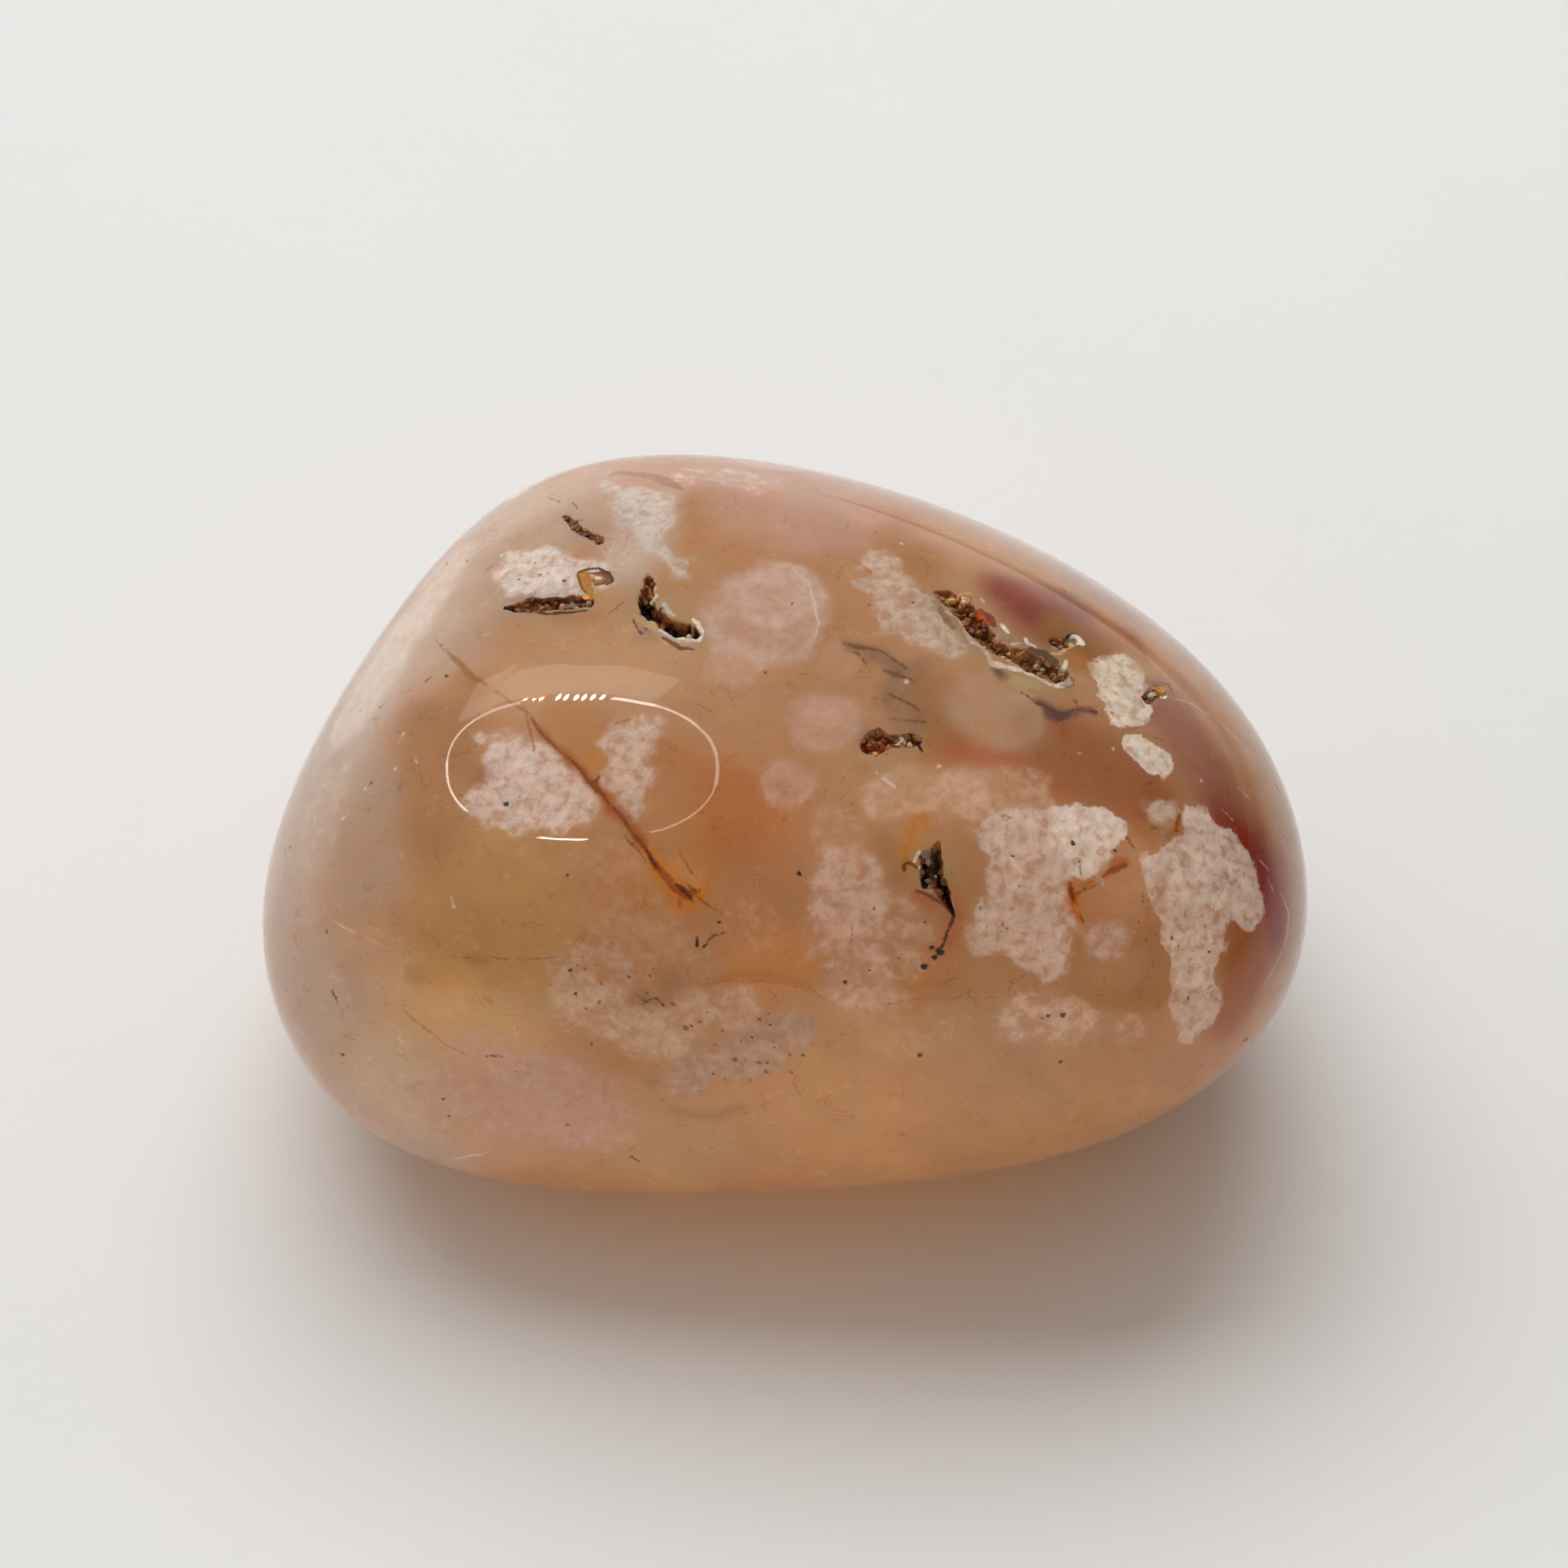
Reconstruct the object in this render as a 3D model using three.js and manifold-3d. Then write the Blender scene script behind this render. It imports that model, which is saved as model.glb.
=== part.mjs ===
// A tumbled stone: one pebble of flower agate, ground and polished all over, that rests on a small flat spot.
// Millimetres, +Z up, +X to the right of someone who looks along +Y. The origin is on the flat spot.

import * as THREE from 'three';
import { mergeVertices } from 'three/addons/utils/BufferGeometryUtils.js';
import Module from 'manifold-3d';

// The pebble's body is a rounded polyhedron. Each broad worn face has a bearing (degrees from +X towards +Y),
// a rise above the horizontal (degrees) and a distance from the heart of the stone (millimetres).
const HEART = new THREE.Vector3(0, 0, 11);
const FACES = {
  crown: [240, 80, 10.4],
  crownLeft: [192, 74, 13.2],
  crownRight: [0, 77, 14.2],
  front: [265, 21, 12.5],
  frontShoulder: [265, 43, 14.6],
  frontFoot: [274, -41, 14.8],
  backSlope: [94, 54, 13.9],
  back: [92, 0, 14.4],
  backFoot: [90, -45, 16.0],
  left: [185, -4, 20.7],
  leftShoulder: [188, 51, 16.4],
  leftBackSlope: [151, 22, 16.1],
  leftFoot: [209, -52, 18.2],
  leftFront: [225, -8, 24.5],
  leftFrontShoulder: [232, 30, 19.8],
  leftBack: [132, -8, 21.6],
  leftBackFoot: [130, -38, 19.9],
  right: [356, -7, 25.4],
  rightShoulder: [332, 43, 19.0],
  rightFront: [312, -12, 24.7],
  rightFrontShoulder: [310, 18, 23.6],
  rightBack: [23, 7, 18.9],
  rightBackSlope: [57, 41, 13.4],
  rightTopSlope: [22, 63, 16.2],
  rightBackFoot: [48, -20, 20.3],
  rightFoot: [319, -40, 18.9],
  bottom: [0, -90, 11.1],
};

// How tightly the faces round into each other: higher is crisper.
const ROUNDING = 7;

// The skin is an icosahedron whose edges are cut into this many pieces plus one.
const SKIN_DETAIL = 13;

// The hollows in the skin are measured as someone sees them from in front, this far above the horizontal and
// this far from the sighted point: across to the right and up, in millimetres.
const SIGHT_RISE = 50;
const SIGHT_DISTANCE = 164;
const SIGHTED_POINT = new THREE.Vector3(0.7, 0.6, 11.5);

// Each hollow follows a track of [across, up, half width]. Its floor is this deep under the skin.
const HOLLOWS = {
  slotWithCrystals: {
    depth: 0.8,
    track: [[-5.12, 7.81, 0.15], [-5.21, 7.16, 0.28], [-5.09, 6.50, 0.3], [-4.6, 6.3, 0.25]],
  },
  deepHole: {
    depth: 1.1,
    track: [[-4.5, 6.1, 0.28], [-3.96, 5.88, 0.34], [-3.32, 5.65, 0.22]],
  },
  spindle: {
    depth: 0.45,
    track: [[-10.35, 6.66, 0.12], [-9.55, 6.74, 0.3], [-8.43, 6.81, 0.32], [-7.41, 6.87, 0.26]],
  },
  nick: {
    depth: 0.25,
    track: [[-8.29, 10.12, 0.13], [-7.67, 9.52, 0.14], [-7.0, 9.23, 0.2]],
  },
  crustedGroove: {
    depth: 0.7,
    track: [
      [6.07, 7.11, 0.3], [6.92, 6.5, 0.48], [7.35, 5.82, 0.45], [7.78, 5.31, 0.3],
      [8.47, 4.96, 0.36], [9.32, 4.62, 0.46], [10.35, 4.11, 0.44], [10.78, 3.85, 0.24],
    ],
  },
  sidePit: {
    depth: 0.5,
    track: [[10.26, 5.3, 0.26], [10.93, 5.4, 0.22]],
  },
  goldenPit: {
    depth: 0.35,
    track: [[13.67, 3.23, 0.22], [14.1, 3.5, 0.24]],
  },
  brownPit: {
    depth: 0.55,
    track: [[3.48, 1.53, 0.52], [4.03, 1.6, 0.28], [4.92, 1.6, 0.26]],
  },
  blackPit: {
    depth: 1.0,
    track: [[5.75, -2.36, 0.18], [5.56, -3.0, 0.42], [5.53, -3.64, 0.36], [5.94, -4.03, 0.26], [6.29, -4.79, 0.12]],
  },
};

// A hollow is scooped out by lumps set this many half widths apart, each rough by this share of its size.
// The roughness is a wave over the lump, this many radians per radius, which shifts from one lump to the next.
const SCOOP_STEP = 1;
const SCOOP_ROUGHNESS = 0.22;
const SCOOP_WAVES = new THREE.Vector3(5.1, 4.3, 3.1);
const SCOOP_SHIFT = 2.3;
const SCOOP_DETAIL = 1;

// What is cut away under the flat spot: a slab wider than the stone, with its top at the resting height.
const SLAB = { length: 80, width: 60, height: 10 };

// Where a sight line is searched for the skin, in millimetres from its point nearest the heart, and how finely.
const SEARCH_REACH = 40;
const SEARCH_STEPS = 40;

const COLOUR = 0xbe8f70;
const POLISH = 0.12;

function direction(bearing, rise) {
  const b = THREE.MathUtils.degToRad(bearing);
  const r = THREE.MathUtils.degToRad(rise);
  return new THREE.Vector3(Math.cos(r) * Math.cos(b), Math.cos(r) * Math.sin(b), Math.sin(r));
}

const faces = Object.values(FACES).map(([bearing, rise, distance]) => ({
  outward: direction(bearing, rise),
  distance,
}));

// 1 on the skin, less inside it and more outside it; offset is measured from the heart.
function gauge(offset) {
  let sum = 0;
  for (const { outward, distance } of faces) {
    sum += Math.max(0, outward.dot(offset) / distance) ** ROUNDING;
  }
  return sum ** (1 / ROUNDING);
}

function outwardAt(point) {
  const offset = point.clone().sub(HEART);
  const sum = new THREE.Vector3();
  for (const { outward, distance } of faces) {
    const lean = Math.max(0, outward.dot(offset) / distance);
    sum.addScaledVector(outward, lean ** (ROUNDING - 1) / distance);
  }
  return sum.normalize();
}

const toViewer = direction(270, SIGHT_RISE);
const sightUp = direction(90, 90 - SIGHT_RISE);
const sightRight = direction(0, 0);

// The point of the skin that is seen at across and up, found by halving the sight line towards the heart.
function skinAt(across, up) {
  const eye = SIGHTED_POINT.clone().addScaledVector(toViewer, SIGHT_DISTANCE);
  const aim = SIGHTED_POINT.clone().addScaledVector(sightRight, across).addScaledVector(sightUp, up);
  const line = new THREE.Ray(eye, aim.sub(eye).normalize());
  let inside = HEART.clone().sub(eye).dot(line.direction);
  let outside = inside - SEARCH_REACH;
  for (let step = 0; step < SEARCH_STEPS; step += 1) {
    const middle = (inside + outside) / 2;
    const offset = line.at(middle, new THREE.Vector3()).sub(HEART);
    if (gauge(offset) > 1) outside = middle;
    else inside = middle;
  }
  return line.at(inside, new THREE.Vector3());
}

// A closed mesh of shared corners alone, as solids are made from.
function weld(geometry) {
  geometry.deleteAttribute('normal');
  geometry.deleteAttribute('uv');
  return mergeVertices(geometry);
}

function skinGeometry() {
  const geometry = weld(new THREE.IcosahedronGeometry(1, SKIN_DETAIL));
  const corners = geometry.getAttribute('position');
  const corner = new THREE.Vector3();
  for (let i = 0; i < corners.count; i += 1) {
    corner.fromBufferAttribute(corners, i).normalize();
    corner.divideScalar(gauge(corner)).add(HEART);
    corners.setXYZ(i, corner.x, corner.y, corner.z);
  }
  return geometry;
}

// One rough lump: a ball of the track's half width, squeezed or drawn out to the hollow's depth.
function scoopGeometry(centre, along, halfWidth, depth, turn) {
  const geometry = weld(new THREE.IcosahedronGeometry(1, SCOOP_DETAIL));
  const corners = geometry.getAttribute('position');
  const up = outwardAt(centre);
  const side = up.clone().cross(along).normalize();
  const forward = side.clone().cross(up);
  const frame = new THREE.Matrix4().makeBasis(forward, side, up).setPosition(centre);
  const size = new THREE.Vector3(halfWidth, halfWidth, depth);
  const shift = SCOOP_SHIFT * turn;
  const corner = new THREE.Vector3();
  for (let i = 0; i < corners.count; i += 1) {
    corner.fromBufferAttribute(corners, i);
    const wave = Math.sin(SCOOP_WAVES.x * corner.x + shift)
      * Math.cos(SCOOP_WAVES.y * corner.y + SCOOP_WAVES.z * corner.z - shift);
    corner.multiplyScalar(1 + SCOOP_ROUGHNESS * wave);
    corner.multiply(size);
    corner.applyMatrix4(frame);
    corners.setXYZ(i, corner.x, corner.y, corner.z);
  }
  return geometry;
}

function hollowGeometries({ depth, track }) {
  const stops = [];
  for (let leg = 0; leg + 1 < track.length; leg += 1) {
    const [fromAcross, fromUp, fromHalf] = track[leg];
    const [toAcross, toUp, toHalf] = track[leg + 1];
    const length = Math.hypot(toAcross - fromAcross, toUp - fromUp);
    const count = Math.max(1, Math.round(length / (SCOOP_STEP * Math.max(fromHalf, toHalf))));
    for (let i = leg === 0 ? 0 : 1; i <= count; i += 1) {
      const part = i / count;
      stops.push({
        point: skinAt(
          THREE.MathUtils.lerp(fromAcross, toAcross, part),
          THREE.MathUtils.lerp(fromUp, toUp, part),
        ),
        halfWidth: THREE.MathUtils.lerp(fromHalf, toHalf, part),
      });
    }
  }
  const widest = Math.max(...stops.map((stop) => stop.halfWidth));
  return stops.map(({ point, halfWidth }, i) => {
    const before = stops[Math.max(0, i - 1)].point;
    const after = stops[Math.min(stops.length - 1, i + 1)].point;
    const along = after.clone().sub(before).normalize();
    return scoopGeometry(point, along, halfWidth, (depth * halfWidth) / widest, i);
  });
}

const wasm = await Module();
wasm.setup();

function toSolid(geometry) {
  const mesh = new wasm.Mesh({
    numProp: 3,
    vertProperties: new Float32Array(geometry.getAttribute('position').array),
    triVerts: new Uint32Array(geometry.getIndex().array),
  });
  return new wasm.Manifold(mesh);
}

function toGeometry(solid) {
  const mesh = solid.getMesh();
  const geometry = new THREE.BufferGeometry();
  geometry.setAttribute('position', new THREE.BufferAttribute(mesh.vertProperties, 3));
  geometry.setIndex(new THREE.BufferAttribute(mesh.triVerts, 1));
  geometry.computeVertexNormals();
  return geometry;
}

function slabGeometry() {
  const slab = new THREE.BoxGeometry(SLAB.length, SLAB.width, SLAB.height);
  slab.translate(0, 0, -SLAB.height / 2);
  return weld(slab);
}

function stoneGeometry() {
  let solid = toSolid(skinGeometry());
  for (const hollow of Object.values(HOLLOWS)) {
    const scoops = hollowGeometries(hollow).map(toSolid);
    solid = solid.subtract(scoops.reduce((joined, scoop) => joined.add(scoop)));
  }
  return toGeometry(solid.subtract(toSolid(slabGeometry())));
}

const stone = new THREE.Mesh(
  stoneGeometry(),
  new THREE.MeshStandardMaterial({ color: COLOUR, roughness: POLISH, metalness: 0 }),
);
stone.name = 'stone';

const group = new THREE.Group();
group.name = 'tumbled-stone';
group.add(stone);

export default group;
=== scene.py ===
"""A tumbled stone of flower agate that rests on a pale floor: its polished skin, its small crystal-lined
hollows, the cream and pink plumes that lie in it, and its iron stains."""

import math

import bmesh
import bpy
import numpy as np
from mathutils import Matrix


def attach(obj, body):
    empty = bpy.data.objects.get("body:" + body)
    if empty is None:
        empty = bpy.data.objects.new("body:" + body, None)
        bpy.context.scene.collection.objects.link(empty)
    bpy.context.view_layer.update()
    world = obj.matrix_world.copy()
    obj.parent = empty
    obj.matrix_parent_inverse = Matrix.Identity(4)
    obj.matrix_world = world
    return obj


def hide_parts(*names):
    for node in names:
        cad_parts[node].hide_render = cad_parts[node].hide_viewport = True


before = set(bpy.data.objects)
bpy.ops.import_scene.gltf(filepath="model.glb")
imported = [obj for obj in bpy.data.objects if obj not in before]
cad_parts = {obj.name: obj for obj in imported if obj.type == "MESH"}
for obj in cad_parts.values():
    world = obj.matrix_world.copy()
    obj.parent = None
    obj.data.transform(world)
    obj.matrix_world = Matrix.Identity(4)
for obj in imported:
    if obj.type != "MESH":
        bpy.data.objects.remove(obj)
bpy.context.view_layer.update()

# The stone is measured in millimetres, and Blender in metres.
MM = 0.001

# The pebble's body is a rounded polyhedron. Each broad worn face has a bearing (degrees from +X towards +Y),
# a rise above the horizontal (degrees) and a distance from the heart of the stone.
HEART = np.array([0.0, 0.0, 11.0])
FACES = {
    "crown": (240, 80, 10.4),
    "crown left": (192, 74, 13.2),
    "crown right": (0, 77, 14.2),
    "front": (265, 21, 12.5),
    "front shoulder": (265, 43, 14.6),
    "front foot": (274, -41, 14.8),
    "back slope": (94, 54, 13.9),
    "back": (92, 0, 14.4),
    "back foot": (90, -45, 16.0),
    "left": (185, -4, 20.7),
    "left shoulder": (188, 51, 16.4),
    "left back slope": (151, 22, 16.1),
    "left foot": (209, -52, 18.2),
    "left front": (225, -8, 24.5),
    "left front shoulder": (232, 30, 19.8),
    "left back": (132, -8, 21.6),
    "left back foot": (130, -38, 19.9),
    "right": (356, -7, 25.4),
    "right shoulder": (332, 43, 19.0),
    "right front": (312, -12, 24.7),
    "right front shoulder": (310, 18, 23.6),
    "right back": (23, 7, 18.9),
    "right back slope": (57, 41, 13.4),
    "right top slope": (22, 63, 16.2),
    "right back foot": (48, -20, 20.3),
    "right foot": (319, -40, 18.9),
    "bottom": (0, -90, 11.1),
}
ROUNDING = 7

# The stone's mesh is this much smaller, so that it fits in the flat triangles of the same form.
FIT = 0.9984

# The camera looks from in front, this far above the horizontal and this far from the sighted point. It sees
# what is between two distances in metres.
SIGHT_RISE = 50
SIGHT_DISTANCE = 164
SIGHTED_POINT = np.array([0.7, 0.6, 11.5])
LENS = 100
SENSOR = 36
CLIP = (0.005, 20)

# Where a sight line is searched for the skin, and in how many halvings.
SEARCH_REACH = 40
SEARCH_STEPS = 40

# The longest edges of the stone's mesh: on plain skin, beside a mark and in a hollow. An edge may be longer
# by this share of its distance from them.
PLAIN_EDGE = 0.42
MARK_EDGE = 0.09
HOLLOW_EDGE = 0.06
EDGE_GROWTH = 0.45
FIRST_SUBDIVISIONS = 5


def direction(bearing, rise):
    b = math.radians(bearing)
    r = math.radians(rise)
    return np.array([math.cos(r) * math.cos(b), math.cos(r) * math.sin(b), math.sin(r)])


def unit(vectors):
    return vectors / np.linalg.norm(vectors, axis=-1, keepdims=True)


def smooth(low, high, values):
    """0 up to low, 1 from high on, and an even S between them."""
    share = np.clip((values - low) / (high - low), 0, 1)
    return share * share * (3 - 2 * share)


def linear(colour):
    """A colour as a screen shows it, from 0 to 255, as an amount of light."""
    share = np.asarray(colour, float) / 255
    return np.where(share <= 0.04045, share / 12.92, ((share + 0.055) / 1.055) ** 2.4)


OUTWARD = np.array([direction(bearing, rise) for bearing, rise, _ in FACES.values()])
REACH = FIT * np.array([distance for _, _, distance in FACES.values()])
TO_VIEWER = direction(270, SIGHT_RISE)
SIGHT_UP = direction(90, 90 - SIGHT_RISE)
SIGHT_RIGHT = direction(0, 0)
EYE = SIGHTED_POINT + SIGHT_DISTANCE * TO_VIEWER


def gauge(offsets):
    """1 on the skin, less inside it and more outside it. Offsets are measured from the heart."""
    lean = np.maximum(offsets @ OUTWARD.T / REACH, 0)
    return (lean**ROUNDING).sum(1) ** (1 / ROUNDING)


def outward_at(points):
    lean = np.maximum((points - HEART) @ OUTWARD.T / REACH, 0)
    return unit((lean ** (ROUNDING - 1) / REACH) @ OUTWARD)


def on_skin(points):
    """The points moved along their rays from the heart to the skin, or to the flat spot under it."""
    rays = unit(points - HEART)
    reach = 1 / gauge(rays)
    to_floor = HEART[2] / np.maximum(-rays[:, 2], 1e-6)
    return HEART + rays * np.minimum(reach, to_floor)[:, None]


def seen_at(places):
    """The points of the skin that are seen at these places, each [across, up] on the sighting plane."""
    places = np.asarray(places, float).reshape(-1, 2)
    aims = SIGHTED_POINT + places[:, :1] * SIGHT_RIGHT + places[:, 1:] * SIGHT_UP
    rays = unit(aims - EYE)
    inside = (HEART - EYE) @ rays.T
    outside = inside - SEARCH_REACH
    for _ in range(SEARCH_STEPS):
        middle = (inside + outside) / 2
        beyond = gauge(EYE + rays * middle[:, None] - HEART) > 1
        outside = np.where(beyond, middle, outside)
        inside = np.where(beyond, inside, middle)
    return EYE + rays * inside[:, None]


def sighted(points):
    """Each point's place on the sighting plane, [across, up]."""
    rays = points - EYE
    rays = rays * (SIGHT_DISTANCE / (rays @ -TO_VIEWER))[:, None]
    return np.stack([rays @ SIGHT_RIGHT, rays @ SIGHT_UP], axis=1)


# Noise: whole-numbered lattice points get even random values, and the points between them blend smoothly.
HASH_FACTORS = np.array([374761393, 668265263, 2147483647, 1274126177], np.uint32)
CORNERS = [(i, j, k) for i in (0, 1) for j in (0, 1) for k in (0, 1)]


def scatter(cells, seed):
    """An even random number from -1 to 1 for each lattice cell."""
    whole = cells.astype(np.int64).astype(np.uint32)
    mixed = whole[:, 0] * HASH_FACTORS[0] ^ whole[:, 1] * HASH_FACTORS[1] ^ whole[:, 2] * HASH_FACTORS[2]
    mixed = (mixed ^ np.uint32(seed * 7919 + 17)) * HASH_FACTORS[3]
    mixed = (mixed ^ (mixed >> np.uint32(15))) * HASH_FACTORS[0]
    mixed = mixed ^ (mixed >> np.uint32(13))
    return mixed.astype(float) / 2**31 - 1


def noise(points, size, seed, octaves=1):
    """Smooth random values from about -1 to 1, in lumps of this size. Each octave adds lumps half as big."""
    total = np.zeros(len(points))
    for octave in range(octaves):
        places = points * 2**octave / size + 31.7 * seed
        cells = np.floor(places)
        share = places - cells
        share = share * share * (3 - 2 * share)
        value = np.zeros(len(points))
        for corner in CORNERS:
            weight = np.prod(np.where(corner, share, 1 - share), axis=1)
            value += weight * scatter(cells + corner, seed + octave)
        total += value / 2**octave
    return total / (2 - 0.5 ** (octaves - 1))


def warped(points, size, amount, seed):
    """The points moved this far at random, in swirls of this size, so that what is drawn on them wavers."""
    shift = np.stack([noise(points, size, seed + axis) for axis in range(3)], axis=1)
    return points + amount * shift


# A dot is a line as short as this.
DOT_LENGTH = 0.01


class Track:
    """A line on the skin through points, with a half width at each."""

    def __init__(self, points, halves):
        self.points = np.asarray(points, float)
        self.halves = np.asarray(halves, float)
        self.middle = self.points.mean(0)
        self.reach = np.linalg.norm(self.points - self.middle, axis=1).max() + self.halves.max()

    def gaps(self, points, margin):
        """Each point's distance from the line's edge, less than 0 on it, and at most the margin."""
        gaps = np.full(len(points), float(margin))
        near = np.linalg.norm(points - self.middle, axis=1) < self.reach + margin
        some = points[near]
        least = np.full(len(some), float(margin))
        for i in range(len(self.points) - 1):
            start = self.points[i]
            leg = self.points[i + 1] - start
            share = np.clip((some - start) @ leg / (leg @ leg), 0, 1)
            half = self.halves[i] + share * (self.halves[i + 1] - self.halves[i])
            distance = np.linalg.norm(some - start - share[:, None] * leg, axis=1)
            least = np.minimum(least, distance - half)
        gaps[near] = least
        return gaps


def seen_track(stops):
    """The line through stops seen at [across, up, half width]. A single stop makes a dot."""
    stops = np.atleast_2d(np.asarray(stops, float))
    if len(stops) == 1:
        stops = np.concatenate([stops, stops + [DOT_LENGTH, 0, 0]])
    return Track(seen_at(stops[:, :2]), stops[:, 2])


def seen_line(places):
    """The line of no width through places seen at [across, up]."""
    return seen_track([(across, up, 0.0) for across, up in places])


# The hollows. Each follows a track, and its floor is this deep under the skin.
HOLLOWS = {
    "slot with crystals": (
        0.8, [(-5.12, 7.81, 0.15), (-5.21, 7.16, 0.28), (-5.09, 6.5, 0.3), (-4.6, 6.3, 0.25)]
    ),
    "deep hole": (1.1, [(-4.5, 6.1, 0.28), (-3.96, 5.88, 0.34), (-3.32, 5.65, 0.22)]),
    "spindle": (0.45, [(-10.35, 6.66, 0.12), (-9.55, 6.74, 0.3), (-8.43, 6.81, 0.32), (-7.41, 6.87, 0.26)]),
    "nick": (0.25, [(-8.29, 10.12, 0.13), (-7.67, 9.52, 0.14), (-7.0, 9.23, 0.2)]),
    "crusted groove": (
        0.7,
        [
            (6.07, 7.11, 0.3), (6.92, 6.5, 0.48), (7.35, 5.82, 0.45), (7.78, 5.31, 0.3),
            (8.47, 4.96, 0.36), (9.32, 4.62, 0.46), (10.35, 4.11, 0.44), (10.78, 3.85, 0.24),
        ],
    ),
    "side pit": (0.5, [(10.26, 5.3, 0.26), (10.93, 5.4, 0.22)]),
    "golden pit": (0.35, [(13.67, 3.23, 0.22), (14.1, 3.5, 0.24)]),
    "brown pit": (0.55, [(3.48, 1.53, 0.52), (4.03, 1.6, 0.28), (4.92, 1.6, 0.26)]),
    "black pit": (
        1.0,
        [
            (5.75, -2.36, 0.18), (5.56, -3.0, 0.42), (5.53, -3.64, 0.36),
            (5.94, -4.03, 0.26), (6.29, -4.79, 0.12),
        ],
    ),
}
HOLLOW_MARGIN = 1.2

# A hollow's rim is ragged and its floor has lumps: (how much, the size of the lumps, their seed). Its ledges
# are shallower than its floor.
RAGGED = [(0.1, 0.42, 71), (0.05, 0.16, 72)]
LUMPS = (0.22, 0.3, 73)
LEDGES = (0.07, 0.14, 75)

# A hollow's wall starts this far outside its edge and ends this share of its half width inside it. A point
# counts as more and more inside from the first of these distances to the second.
WALL_START = 0.05
WALL_END = 0.55
INSIDE_EDGE = (0.06, -0.06)

# The skin beside a hollow or a mark is as finely meshed as in it up to this far from its edge.
HOLLOW_RIM = 0.1
MARK_RIM = 0.03
MARK_MARGIN = 1.0

# The crusts, crystals and stains in and beside the hollows, and the painted shadows and highlights there: a
# colour, and the tracks painted in it, each over those before it.
# Near-black, laid where the hollows are darkest.
NEAR_BLACK = (16, 7, 5)
UMBER = (66, 34, 20)
SIENNA = (124, 66, 34)
TAN = (170, 128, 86)
GOLD = (190, 142, 72)
PALE_PINK = (212, 168, 142)
# White for frosty crystals, and also for the painted glints and highlights on the hollows' rims.
FROST_AND_GLINT = (234, 212, 184)
STEEL = (122, 106, 98)
HOLLOW_FLOOR = (104, 66, 38)

# The floor's colour is mottled: how much, the size of the spots and their seed. A painted stroke's edge is as
# soft as from the first distance to the second, and strokes are looked for up to the third.
FLOOR_SPOTS = (0.4, 0.2, 95)
STROKE_EDGE = (-0.03, 0.045)
STROKE_MARGIN = 0.5

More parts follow.
